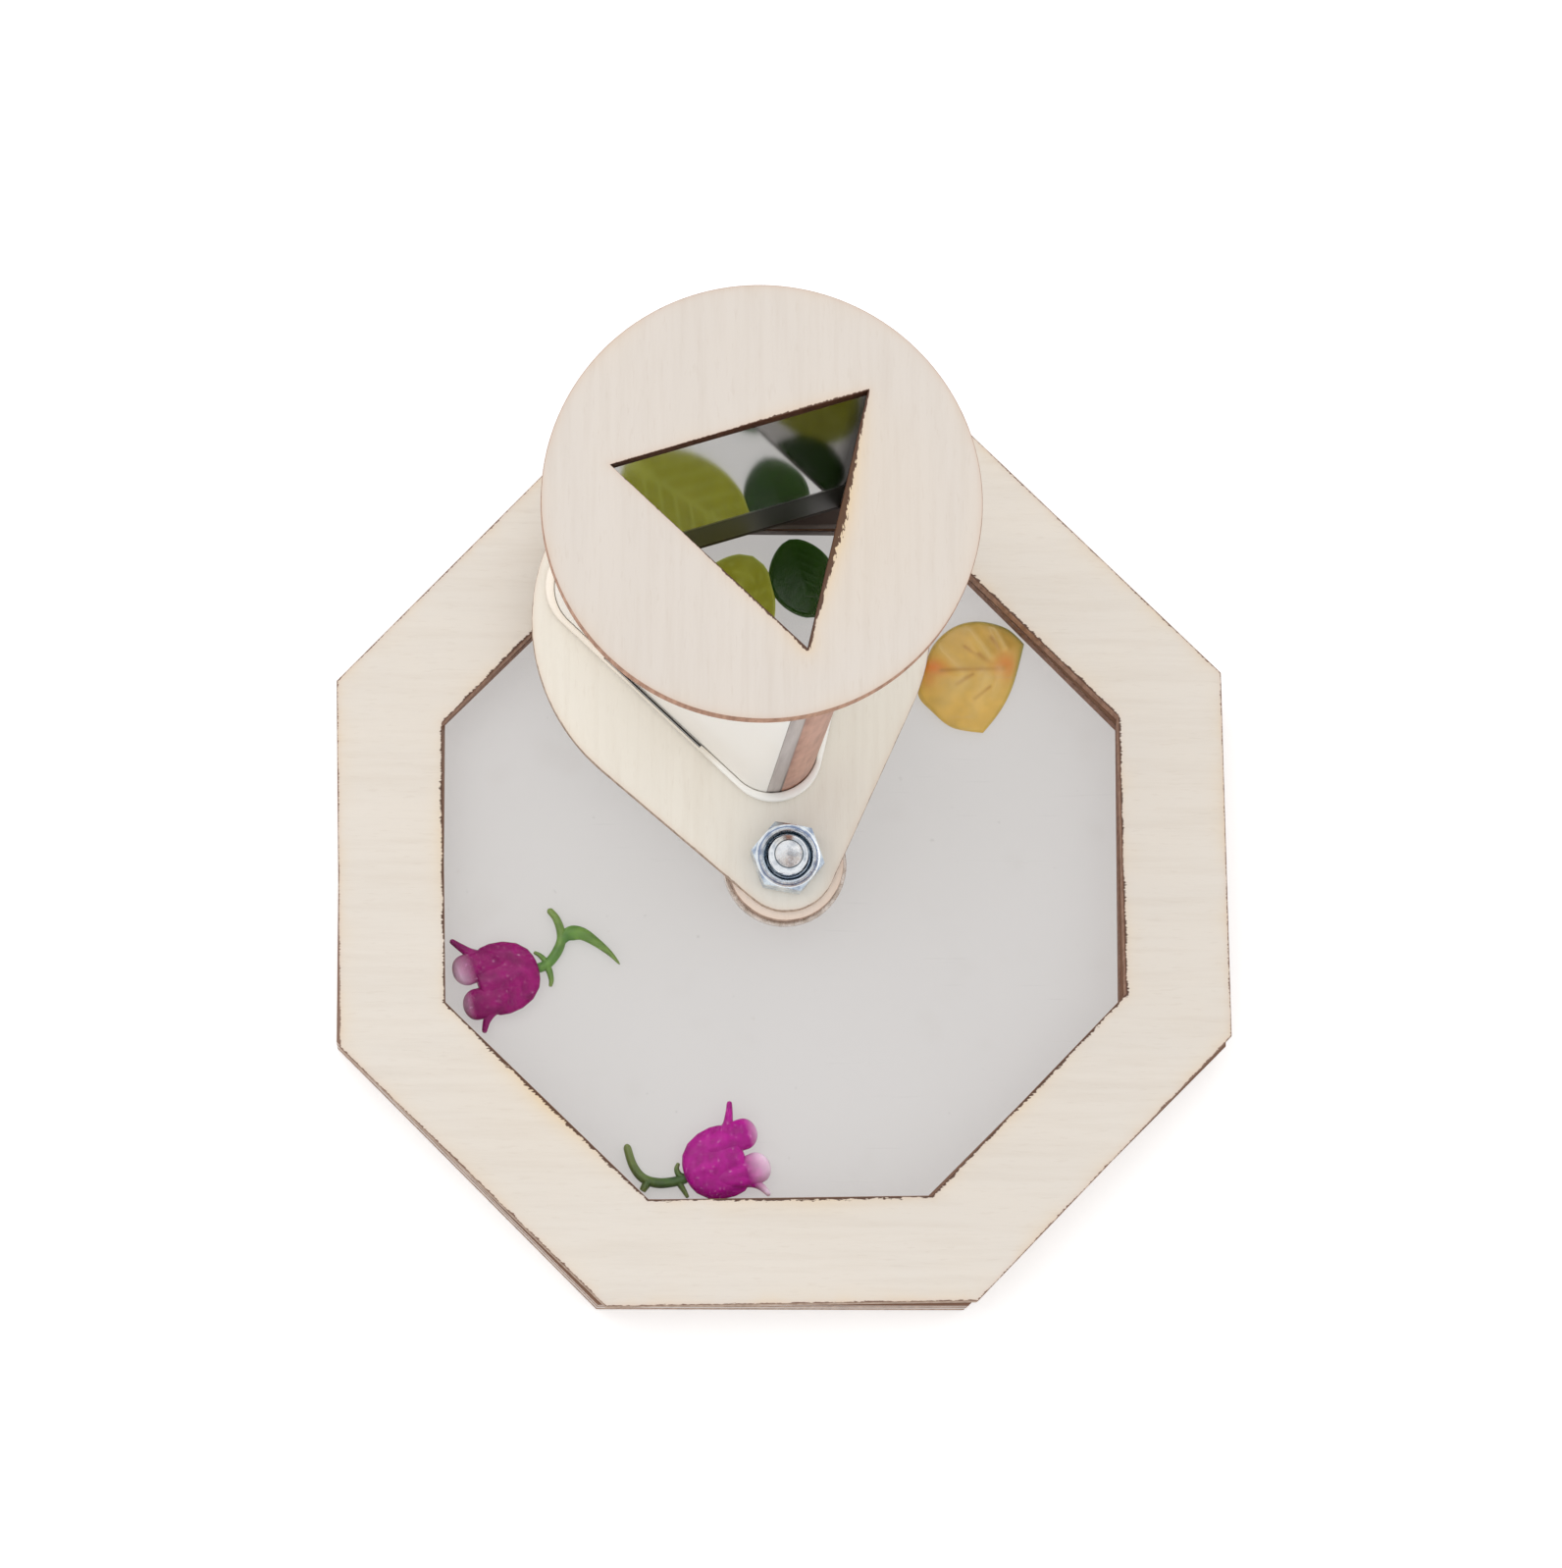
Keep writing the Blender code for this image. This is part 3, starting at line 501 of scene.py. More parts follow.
def frosted_pane():
    """The milky back window: a painted glow, an emission though it is no lamp, over a dimmer base colour."""
    shader = Shader("frosted_pane")
    cloud = shader.noise(EVEN, 22, 2).span(0.35, 0.65)
    grit = shader.noise(EVEN, 3000, 2, offset=3)
    specks = shader.noise((1, 1, 0.1), 650, 1, offset=5).span(0.79, 0.84)
    smudges = shader.noise((1, 1, 0.1), 120, 2, offset=15).span(0.62, 0.74, 0, 0.3)
    colour = shader.paint(tone(134, 132, 130), (cloud, tone(138, 136, 135)),
                          (specks * 0.5, tone(120, 112, 108)))
    # Painted glow: the pane emits light, though it is no lamp, standing in for light coming through it.
    painted_glow = shader.mix(smudges, tone(234, 231, 229), tone(222, 217, 213))
    return shader.set(Base_Color=colour, Roughness=0.5, Specular_IOR_Level=0.2, Emission_Color=painted_glow,
                      Emission_Strength=0.53, Normal=grit.bump(0.02 * MM, 0.3))


def clear_pane():
    """The clear front window, with hairline scratches and dust, and opaque and brown between the rings."""
    shader = Shader("clear_pane")
    scratches = shader.noise((0.05, 1, 1), 1400, 2, offset=2).span(0.70, 0.80)
    dust = shader.noise(EVEN, 900, 1, offset=9).span(0.78, 0.82)
    reach = 0.0
    for quarter in range(4):
        reach = abs(shader.level((*unit(quarter * TAU / 8), 0))).max(reach)
    hidden = shader.math("GREATER_THAN", reach, WINDOW_INRADIUS + 0.02 * MM)
    colour = shader.paint(tone(228, 226, 224), (dust, tone(190, 184, 180)), (hidden, tone(150, 116, 96)))
    return shader.set(Base_Color=colour, Specular_IOR_Level=0.3,
                      Roughness=shader.noise(EVEN, 60, 3).span(0.3, 0.7, 0.04, 0.12),
                      Alpha=(scratches.max(dust) * 0.08 + 0.008).max(hidden))


def zinc_marks(net, bright, dull, seed):
    """Faint milling marks, and patches of painted reflection, bright and dull."""
    marks = net.noise((1, 1, 0.3), 1600, 4, 0.6, offset=seed)
    reflection_patches = net.noise(EVEN, 700, 3, offset=seed + 2)
    return {"Color": net.mix(reflection_patches.span(0.43, 0.62, 0, 0.85), bright, dull), "Marks": marks}


def zinc_steel(name, bright, dull, seed, rings=()):
    """Bright zinc, with rings of painted highlight and shade. A ring is a radius round the pivot and half a
    width in millimetres, and its colour.
    """
    shader = Shader(name)
    colour, marks = shader.effect(zinc_marks, bright=bright, dull=dull, seed=seed)
    flat = shader.place((1, 1, 0))
    for radius, half, painted_light_colour in rings:
        off = abs(shader.vector("DISTANCE", flat, (*PIVOT, 0)) - radius * MM)
        colour = shader.mix(off.span(half * 0.3 * MM, half * MM, 1.0, 0.0), colour, painted_light_colour)
    return shader.set(Base_Color=colour, Metallic=1.0, Roughness=marks.span(0.3, 0.7, 0.16, 0.34),
                      Normal=marks.bump(0.04 * MM, 0.35))


def sheet_cloud(net, clean, warm):
    """White sheet, a little warmer in broad patches, with a fine grit."""
    cloud = net.noise((1, 1, 0.35), 60, 3)
    return {"Color": net.mix(cloud.span(0.35, 0.65), clean, warm), "Fine": net.noise(EVEN, 1800, 3)}


def white_sheet(name, clean, warm, foot=False):
    """Thin white sheet: the foot has a painted highlight at its seam corner and painted shade inside beside
    the slot that shows, and the sleeve is brown inside.
    """
    shader = Shader(name)
    colour, fine = shader.effect(sheet_cloud, clean=clean, warm=warm)
    if foot:
        # A painted highlight round the seam corner, and painted shade on the foot's inner wall, darkest in
        # the slot.
        seam = (TUBE_AXIS[0] + 7 * MM, TUBE_AXIS[1] - 19 * MM, 17 * MM)
        hidden = (shader.attribute("inside") * shader.attribute("wall")).span(0.5, 1.0)
        shade = hidden * shader.near(SLOT_PLACE, 7 * MM).span(0.0, 0.25)
        colour = shader.paint(colour, (shader.near(seam, 14 * MM).span(0.0, 0.4), tone(254, 252, 247)),
                              (shader.near(SLOT_PLACE, 9 * MM).span(0.0, 0.3, 0, 0.8), tone(230, 222, 208)),
                              (hidden, tone(206, 198, 188)), (shade, tone(22, 16, 13)))
    else:
        offset = shader.vector("SUBTRACT", shader.place(), (*TUBE_AXIS, 0))
        flat = shader.vector("MULTIPLY", offset, (1, 1, 0))
        outward = shader.vector("DOT_PRODUCT", flat, shader.field("ShaderNodeTexCoord", "Normal"))
        colour = shader.mix(shader.math("LESS_THAN", outward, -1.0 * MM), colour, tone(96, 78, 68))
    return shader.set(Base_Color=colour, Roughness=fine.span(0.3, 0.7, 0.32, 0.42),
                      Normal=fine.bump(0.02 * MM, 0.3))


def mirror_paint(net, back, back_dark, seed):
    """The dull paint on a mirror's back: upright streaks and pinkish blots."""
    streaks = net.noise((1, 1, 0.06), 1300, 4, 0.6, offset=seed).span(0.35, 0.65)
    blots = net.noise((1, 1, 0.3), 400, 3, offset=seed + 3).span(0.42, 0.66, 0, 0.5)
    return {"Color": net.paint(back, (streaks, back_dark), (blots, tone(214, 186, 172)))}


def mirror_strip(name, side, back, back_dark, glass, shade_band_height=0.0):
    """A mirror strip, whose face towards the tube's axis reflects above the shade band's height, with painted
    shade below it and along its upright edges.
    """
    shader = Shader(name)
    normal = shader.field("ShaderNodeTexCoord", "Normal")
    facing = shader.vector("DOT_PRODUCT", normal, (*-unit(side_heading(side)), 0))
    inner = shader.math("GREATER_THAN", facing, 0.9)
    paint, = shader.effect(mirror_paint, back=back, back_dark=back_dark, seed=side)
    sideways = unit(side_heading(side) + TAU / 4)
    off_middle = abs(shader.level((*sideways, 0), TUBE_AXIS @ sideways))
    # Painted shade along the upright edges, where the gaps at the tube's corners lie in shade.
    edge = off_middle.span(MIRROR_HALF - 2.8 * MM, MIRROR_HALF - 1.1 * MM)
    # Painted shade low down: a dark, dull band where shade lies at the tube's foot.
    painted_shade_band = shader.level((0, 0, 1)).span(shade_band_height - 0.8 * MM, shade_band_height + 0.8 * MM, 1, 0)
    shining = inner * shader.math("SUBTRACT", 1.0, painted_shade_band)
    bright = shader.paint(glass, (edge, tone(64, 54, 50)), (painted_shade_band, tone(70, 62, 60)))
    return shader.set(Base_Color=shader.mix(inner, paint, bright), Metallic=shining,
                      Roughness=shining * -0.36 + 0.42)


PETAL = {"Roughness": 0.2, "Specular_IOR_Level": 0.15, "Subsurface_Weight": 0.10,
         "Subsurface_Radius": (0.4, 0.1, 0.3), "Subsurface_Scale": 0.5 * MM}
STEM = {"Roughness": 0.32, "Specular_IOR_Level": 0.35}


def moulded(name, skin, first, second, seed, relief, settings):
    """Moulded plastic: a skin of two colours, the relief of its mottle, and settings of its kind."""
    shader = Shader(name)
    colour, mottle = shader.effect(skin, first=first, second=second, seed=seed)
    return shader.set(Base_Color=colour, Normal=mottle.bump(*relief), **settings)


def petal_skin(net, first, second, seed):
    """A deep first colour, a little paler on the ribs, the second at the tips, and small pink flecks of
    painted highlight.
    """
    mottle = net.noise(EVEN, 900, 4, 0.6, offset=seed)
    blotch = net.noise(EVEN, 260, 2, offset=seed + 7).span(0.30, 0.62, 0.75, 1)
    painted_glints = net.noise(EVEN, 2400, 2, offset=seed + 11).span(0.64, 0.70, 0, 0.4)
    deep = net.mix(1.0, first, (0.62, 0.62, 0.62, 1), "MULTIPLY")
    rib = net.attribute("rib").span(0.3, 1.0, 0, 0.10)
    pale = net.attribute("along").span(0.66, 1.02) * blotch
    colour = net.paint(deep, (mottle.span(0.36, 0.64), first), (rib, tone(196, 60, 160)), (pale, second),
                       (painted_glints, tone(226, 150, 208)))
    return {"Color": colour, "Mottle": mottle}


def stem_skin(net, first, second, seed):
    """Green that is yellower and paler towards each blade's tip."""
    mottle = net.noise(EVEN, 800, 3, offset=seed)
    pale = net.attribute("along").span(0.35, 1.0, 0, 0.6)
    return {"Color": net.paint(first, (mottle.span(0.35, 0.65), second), (pale, tone(150, 158, 92))),
            "Mottle": mottle}


def leaf_skin(net, base, patch, vein, rim, line, seed):
    """A mottled base, warm patches, paler raised veins, dark strokes and a tinted rim."""
    mottle = net.noise(EVEN, 420, 4, 0.6, offset=seed).span(0.35, 0.65)
    dim = net.mix(1.0, base, (0.82, 0.82, 0.82, 1), "MULTIPLY")
    colour = net.paint(
        base, (mottle, dim), (net.attribute("patch"), patch), (net.attribute("vein") * 0.45, vein),
        (net.attribute("stroke") * 0.75, line), (net.attribute("rim"), rim))
    return {"Color": colour, "Fine": net.noise(EVEN, 1500, 3, offset=seed + 2)}


def leaf_plastic(name, base, patch, vein, rim, line, seed, painted_glow):
    """Translucent leaf with a little painted glow: it emits its own colour, though it is no lamp."""
    shader = Shader(name)
    colour, fine = shader.effect(leaf_skin, base=base, patch=patch, vein=vein, rim=rim, line=line, seed=seed)
    return shader.set(Base_Color=colour, Roughness=0.26, Emission_Color=colour, Emission_Strength=painted_glow,
                      Normal=fine.bump(0.05 * MM, 0.4))


# The boards
FACE = tone(228, 220, 210)
DISC_FACE = tone(221, 212, 203)
BRACKET_FACE = tone(239, 233, 222)
# The hub's face is lighter than the other boards to offset the bracket's shade over it: painted light.
HUB_FACE = tone(253, 240, 229)
WALL = tone(186, 158, 138)
INNER_WALL = tone(150, 124, 104)
BURNT = tone(62, 46, 36)
GRAIN_ACROSS = (0.07, 1, 1)
GRAIN_UP = (1, 0.07, 1)


def ply_board(name, node, outer, inner, body, *looks, holes=(), **more):
    """One board of the part in its own ply."""
    piece = board(name + "_board", outer, inner, node)
    if holes:
        drill(piece, holes, node, outer, inner)
    dress(piece, body, plywood(name + "_ply", *looks, **more), "ply", node)


def make_rings():
    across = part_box("back_ring")[1].x
    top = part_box("front_ring")[1].z
    scorches = [((x * MM, y * MM, top), reach * MM, strength) for x, y, reach, strength in (
        (-30, -31, 16, 0.85), (-42, 2, 14, 0.45), (30, -31, 12, 0.4), (4, -43, 14, 0.45))]
    front = {"halo": 0.22, "scorches": scorches, "char": (0.14, 0.52, 0.34)}
    # Painted shade on the rings under the tube, where its shade falls.
    soot = ((3 * MM, 46 * MM, 8 * MM), 15 * MM, 1.0)
    for node, turn, outer_wall, inner_wall, seed, more in (
            ("back_ring", 0.0, WALL, INNER_WALL, 1, {}),
            ("spacer_ring", 0.0, WALL, tone(150, 110, 88), 7, {}),
            ("front_ring", FRONT_RING_TURN, tone(196, 172, 152), tone(178, 138, 114), 13, front)):
        outer, inner = (polygon_outline(8, reach, turn, 60) for reach in (across, WINDOW_INRADIUS))
        ply_board(node, node, outer, inner, "chamber", GRAIN_ACROSS, FACE, outer_wall, inner_wall, seed=seed,
                  soot=soot, **more)


def make_hub():
    """The hub's two hidden spacers, the bright washer and the thin disc on top of it."""
    around = unit(fan_directions(180))
    for node, body, seed in (
            ("hub_core", "chamber", 21), ("lower_hub_disc", "chamber", 25), ("upper_hub_disc", "arm", 29)):
        low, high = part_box(node)
        outer, inner = (PIVOT + radius * around for radius in ((high.x - low.x) / 2, BOLT_HOLE_RADIUS))
        ply_board(node, node, outer, inner, body, GRAIN_UP, HUB_FACE, tone(200, 172, 152), BURNT, halo=0.1,
                  seed=seed, char=(0.06, 0.20, 0.0))
    low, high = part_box("hub_washer")
    reach = (high.x - low.x) / 2
    ease = 0.12 * MM
    profile = [(BOLT_HOLE_RADIUS, low.z), (reach - ease, low.z), (reach, low.z + ease),
               (reach, high.z - ease), (reach - ease, high.z), (BOLT_HOLE_RADIUS, high.z)]
    dress(grid_object("bright_washer", turned_points(profile, 160)), "chamber",
          zinc_steel("washer_zinc", tone(224, 214, 206), tone(186, 172, 160), 31), "zinc_steel", "hub_washer")


def slot_outline(side):
    """The narrow slot beside one of the tube's flat sides."""
    normal, along = unit(side_heading(side)), unit(side_heading(side) + TAU / 4)
    inner, outer = SLEEVE_INRADIUS, SLEEVE_INRADIUS + SLOT_DEPTH
    corners = [(inner, -SLOT_HALF), (outer, -SLOT_HALF), (outer, SLOT_HALF), (inner, SLOT_HALF)]
    return np.array([TUBE_AXIS + out * normal + run * along for out, run in corners])


def make_arm_boards():
    """The bracket and the eyepiece disc, each drawn from the tube's axis out to its own outline."""
    directions = fan_directions(420, TUBE_TURN + TAU / 3 * np.arange(3))

    def triangle(inradius):
        outline = polygon_outline(3, inradius, TUBE_TURN - TAU / 6, 2, TUBE_AXIS)
        return ray_outline(TUBE_AXIS, directions, outline)

    holes = [PIVOT + BOLT_HOLE_RADIUS * unit(TAU * np.arange(96) / 96)]
    holes += [slot_outline(side) for side in range(3)]
    teardrop = ray_outline(TUBE_AXIS, directions, teardrop_outline())
    ply_board("bracket", "bracket", teardrop, triangle(LIGHT_INRADIUS), "arm", GRAIN_UP, BRACKET_FACE,
              tone(204, 182, 162), BURNT, holes=holes, halo=0.06, seed=33, char=(0.11, 0.22, 0.0))
    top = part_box("eyepiece_disc")[1].z
    right = (*TUBE_AXIS + 9 * MM * unit(TUBE_TURN + TAU / 2), top)
    low_corner = (*TUBE_AXIS + 17 * MM * unit(TUBE_TURN + TAU / 3), top)
    ply_board("eyepiece", "eyepiece_disc", TUBE_AXIS + END_RADIUS * unit(directions), triangle(EYE_INRADIUS),
              "arm", GRAIN_UP, DISC_FACE, tone(198, 154, 128), tone(104, 66, 46), halo=0.10, seed=41,
              char=(0.05, 0.16, 0.82), scorches=[(right, 17 * MM, 1.2), (low_corner, 6 * MM, 0.5)])


def drill(piece, holes, node, outer, inner):
    """Cut upright holes through a board, and give each face corner the board's values anew."""
    low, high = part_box(node)
    overrun = 2 * MM
    cutters = []
    for index, outline in enumerate(holes):
        middle = np.broadcast_to(outline.mean(0), outline.shape)
        rows = [np.insert(flat, 2, height, 1) for flat, height in (
            (middle, low.z - overrun), (outline, low.z - overrun), (outline, high.z + overrun),
            (middle, high.z + overrun))]
        cutter = grid_object(f"{piece.name}_drill_{index}", np.array(rows), close_rows=False)
        boolean = piece.modifiers.new("hole", "BOOLEAN")
        boolean.operation = "DIFFERENCE"
        boolean.object = cutter
        cutters.append(cutter)
    bpy.context.view_layer.update()
    mesh = bpy.data.meshes.new_from_object(piece.evaluated_get(bpy.context.evaluated_depsgraph_get()))
    mesh.set_sharp_from_angle(angle=math.radians(30))
    piece.modifiers.clear()
    piece.data = mesh
    for cutter in cutters:
        bpy.data.objects.remove(cutter)

    def read(items, key, width=1, kind=float):
        values = np.zeros(len(items) * width, kind)
        items.foreach_get(key, values)
        return values.reshape(-1, width)

    vertex = read(mesh.loops, "vertex_index", kind=np.int32)[:, 0]
    places = read(mesh.vertices, "co", 3)
    normals = read(mesh.polygons, "normal", 3)
    counts = read(mesh.polygons, "loop_total", kind=np.int32)[:, 0]
    upright = np.repeat(1 - np.abs(normals[:, 2]), counts)
    to_outer = outline_distance(places[:, :2], outer)
    to_inner = outline_distance(places[:, :2], inner)
    values = {
        "cut": (np.minimum(to_outer, to_inner) / MM)[vertex],
        "wall": np.clip(upright * 1.2, 0, 1),
        "inside": (to_outer > 0.3 * MM)[vertex],
        "depth": ((places[:, 2] - low.z) / (high.z - low.z))[vertex],
    }
    for name, value in values.items():
        mesh.attributes.remove(mesh.attributes[name])
        layer = mesh.attributes.new(name, "FLOAT", "CORNER")
        layer.data.foreach_set("value", value.astype(np.float32))


# The tube
def wall_surface(name, outer, inner, low, high, rows=24):
    """An upright wall between two outlines of equal count, closed on all sides."""
    loop = np.concatenate([outer, inner[::-1]])
    ease = 0.05 * MM
    heights = [low, low, low + ease, *np.linspace(low, high, rows)[1:-1], high - ease, high, high]
    points = np.zeros((len(heights), len(loop), 3))
    points[..., :2] = loop
    points[[0, -1], :, :2] = (loop + loop[::-1]) / 2
    points[..., 2] = np.array(heights)[:, None]
    return grid_object(name, points, close_rows=False)


def make_tube():
    low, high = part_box("sleeve")
    outer, inner = (tube_outline(SLEEVE_INRADIUS - wall, SLEEVE_CORNER - wall, SEAM_START, SEAM_END + TAU)
                    for wall in (0.0, SLEEVE_WALL))
    dress(wall_surface("sleeve_sheet", outer, inner, low.z, high.z), "arm",
          white_sheet("sleeve_sheet", tone(253, 250, 244), tone(249, 244, 235)), "white_sheet", "sleeve")
    first = TUBE_TURN - TAU / 6
    outer = tube_outline(FOOT_OUTER_INRADIUS, FOOT_OUTER_CORNER, first, first + TAU)
    inner = tube_outline(SLEEVE_INRADIUS + FOOT_GAP, SLEEVE_CORNER + FOOT_GAP, first, first + TAU,
                         SLOT_DEPTH - FOOT_GAP)
    dress(board("foot_rim", outer, inner, "tube_foot", 0.30 * MM), "arm",
          white_sheet("foot_sheet", tone(250, 240, 227), tone(246, 236, 222), True),
          "white_sheet", "tube_foot")
    make_seam_strip(low.z, high.z)
    glass = tone(248, 250, 250)
    grey = (tone(178, 166, 156), tone(150, 138, 128))
    brown = (tone(182, 128, 102), tone(138, 84, 60))
    # The right mirror's glass is tinted dark, as painted shade in its reflection; the far mirror has a band
    # of painted shade low down.
    strips = (("mirror_left", *grey, glass, 0.0), ("mirror_right", *brown, tone(90, 79, 71), 0.0),
              ("mirror_far", *brown, glass, low.z + 13.4 * MM))
    for side, (node, *looks) in enumerate(strips):
        coat(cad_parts[node], mirror_strip(node + "_strip", side, *looks))


def make_seam_strip(low, high):
    """The backs of the mirrors at the open seam: a thin curved strip in it."""
    heading = TUBE_TURN + TAU / 3
    centre = TUBE_AXIS + 2 * (SLEEVE_INRADIUS - SLEEVE_CORNER) * unit(heading)
    turn = unit(np.linspace(SEAM_END + math.radians(0.5), SEAM_START - math.radians(0.5), 60))
    reach = SLEEVE_CORNER - 0.04 * MM
    outer, inner = (centre + radius * turn for radius in (reach, reach - 0.25 * MM))
    strip = wall_surface("seam_strip", outer, inner, low, high)
    shader = Shader("seam_paint")
    across = unit(heading + TAU / 4)
    run = shader.level((*across, 0), TUBE_AXIS @ across)
    height = shader.level((0, 0, 1), low)
    streaks = shader.noise((1, 1, 0.05), 900, 4, 0.6, offset=3).span(0.35, 0.65)
    blots = shader.noise((1, 1, 0.4), 500, 3, offset=9).span(0.40, 0.66)
    # Darker towards the bottom.
    darker_bottom = height.span(1.0 * MM, 9.0 * MM, 0.9, 0) * blots.span(0.2, 0.8)
    brown = shader.paint(tone(192, 142, 118), (streaks, tone(158, 104, 80)),
                         (blots * 0.45, tone(212, 160, 138)), (darker_bottom, tone(132, 70, 54)))
    grey = shader.mix(streaks, tone(196, 186, 180), tone(168, 156, 150))
    # Painted shade: a dark line in the gap between the two mirror backs, deeper low down.
    gap_shade = abs(run + 0.56 * MM).span(0.05 * MM, 0.20 * MM, 1, 0) * height.span(8 * MM, 20 * MM, 0.95, 0.3)
    colour = shader.paint(grey, (run.span(-0.62 * MM, -0.50 * MM), brown), (gap_shade, tone(70, 58, 54)))
    dress(strip, "arm", shader.set(Base_Color=colour, Roughness=0.4), "mirror")


# Bolt and nut
def turned_points(profile, around):
    """Points round the pivot: each profile row is a radius, or one for each angle, and a height."""
    turn = unit(TAU * np.arange(around) / around)
    points = np.zeros((len(profile), around, 3))
    for row, (radius, height) in enumerate(profile):
        points[row, :, :2] = PIVOT + np.broadcast_to(radius, around)[:, None] * turn
        points[row, :, 2] = height
    return points


def hexagon_radius(inradius, angle, turn):
    """The radius of a hexagon at an angle."""
    sixth = TAU / 6
    return inradius / np.cos(np.mod(angle - turn + sixth / 2, sixth) - sixth / 2)


def thread_wave(height, start, angle):
    """The thread's profile: 1 where it starts a turn and 0 half a pitch on."""
    return 2 * np.abs(np.mod((height - start) / THREAD_PITCH - angle / TAU, 1.0) - 0.5)


def make_nut():
    """A hexagon nut with chamfered corners, a flat top and a countersunk thread."""
    low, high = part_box("nut")
    around = 288
    angle = TAU * np.arange(around) / around
    flats = hexagon_radius(4.0 * MM, angle, math.radians(20.0))
    face = 3.90 * MM
    slope = math.tan(math.radians(32))
    bore = 2.56 * MM
    mouth = 3.15 * MM
    sink = 0.75 * MM
    sides = [(np.minimum(flats, face + drop / slope), drop) for drop in np.linspace(0, 0.56, 14) * MM]
    profile = [(mouth, low.z)] + [(reach, low.z + drop) for reach, drop in sides]
    profile += [(reach, high.z - drop) for reach, drop in sides[::-1]]
    profile += [(face - 0.12 * MM, high.z - 0.04 * MM), (mouth + 0.12 * MM, high.z - 0.04 * MM),
                (mouth + 0.06 * MM, high.z), (mouth, high.z - 0.05 * MM)]
    for height in np.linspace(high.z - sink, low.z + sink, 40):
        profile.append((bore + 0.10 * MM * thread_wave(height, low.z, angle), height))
    white = tone(244, 248, 252)
    # Painted light on the nut: white highlights at the chamfer's edge and the thread's mouth, a blue painted
    # reflection between, and painted shade in the groove round the bolt.
    zinc = zinc_steel("nut_zinc", tone(222, 232, 240), tone(142, 158, 184), 3, (
        (3.92, 0.12, white), (3.62, 0.10, tone(120, 136, 172)), (3.16, 0.12, white),
        (2.88, 0.20, tone(44, 66, 82))))
    nut = grid_object("hex_nut", turned_points(profile, around), sharp_angle=22)
    dress(nut, "chamber", zinc, "zinc_steel", "nut")


def make_bolt():
    """A round-headed bolt with a hexagon socket, a plain shank and a threaded, chamfered end."""
    low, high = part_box("bolt")
    around = 192
    angle = TAU * np.arange(around) / around
    head_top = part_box("back_pane")[0].z - 0.3 * MM
    head_radius = 4.75 * MM
    head_round = 1.1 * MM
    socket = hexagon_radius(1.5 * MM, angle, 0.0)
    floor = low.z + 1.3 * MM
    shank = BOLT_RADIUS - 0.03 * MM
    thread_low = high.z - 9.0 * MM
    profile = [(0, floor), (socket * 0.97, floor), (socket, floor - 0.05 * MM), (socket, low.z + 0.08 * MM),
               (socket + 0.08 * MM, low.z)]
    for out, up in 1 - unit(np.linspace(math.pi / 2, 0, 10)):
        profile.append((head_radius - head_round * out, low.z + head_round * up))
    profile += [(head_radius, head_top - 0.08 * MM), (head_radius - 0.08 * MM, head_top), (shank, head_top),
                (shank, thread_low)]
    for height in np.arange(thread_low + 0.05 * MM, high.z - 0.62 * MM, 0.08 * MM):
        profile.append((shank - 0.36 * MM * (1 - thread_wave(height, thread_low, angle)), height))
    profile += [(shank - 0.04 * MM, high.z - 0.60 * MM), (shank - 0.08 * MM, high.z - 0.52 * MM)]
    profile += [(reach * MM, high.z - drop * MM) for reach, drop in (
        (1.76, 0.05), (1.70, 0), (1.55, 0), (1.1, 0.07), (0, 0.10))]
    white = tone(240, 244, 248)
    # Painted light on the bolt's end: a white highlight on its chamfer and a ring of painted shade round its
    # flat face.
    zinc = zinc_steel("bolt_zinc", white, tone(184, 192, 202), 11, (
        (2.36, 0.14, white), (1.74, 0.10, tone(84, 96, 104))))
    bolt = grid_object("pivot_bolt", turned_points(profile, around), close_rows=False, sharp_angle=25)
    dress(bolt, "chamber", zinc, "zinc_steel", "bolt")


# Charms
def charm_path(places, angle, place, height, share):
    """A smooth level path through places in millimetres, turned to the charm's angle."""
    places = np.asarray(places, float)
    padded = np.concatenate([2 * places[:1] - places[1:2], places, 2 * places[-1:] - places[-2:-1]])
    along = share * (len(places) - 1)
    span = np.minimum(along.astype(int), len(places) - 2)
    before, start, end, after = (padded[span + shift] for shift in range(4))
    flat = cubic(start, end, (end - before) / 2, (after - start) / 2, (along - span)[:, None])
    return np.column_stack([turn_and_move(flat * MM, angle, place), np.full(len(share), height)])


def bunched(count):
    """Shares from 0 to 1 that lie closer together towards both ends."""
    return (1 - np.cos(np.linspace(0, math.pi, count))) / 2


def swell(share, peak):
    """A rise from 0 to 1 at a peak and a fall to 0, as two quarter ovals."""
    rise = np.sqrt(1 - (1 - np.clip(share / peak, 0, 1)) ** 2)
    fall = np.sqrt(1 - np.clip((share - peak) / (1 - peak), 0, 1) ** 2)
    return np.where(share < peak, rise, fall)


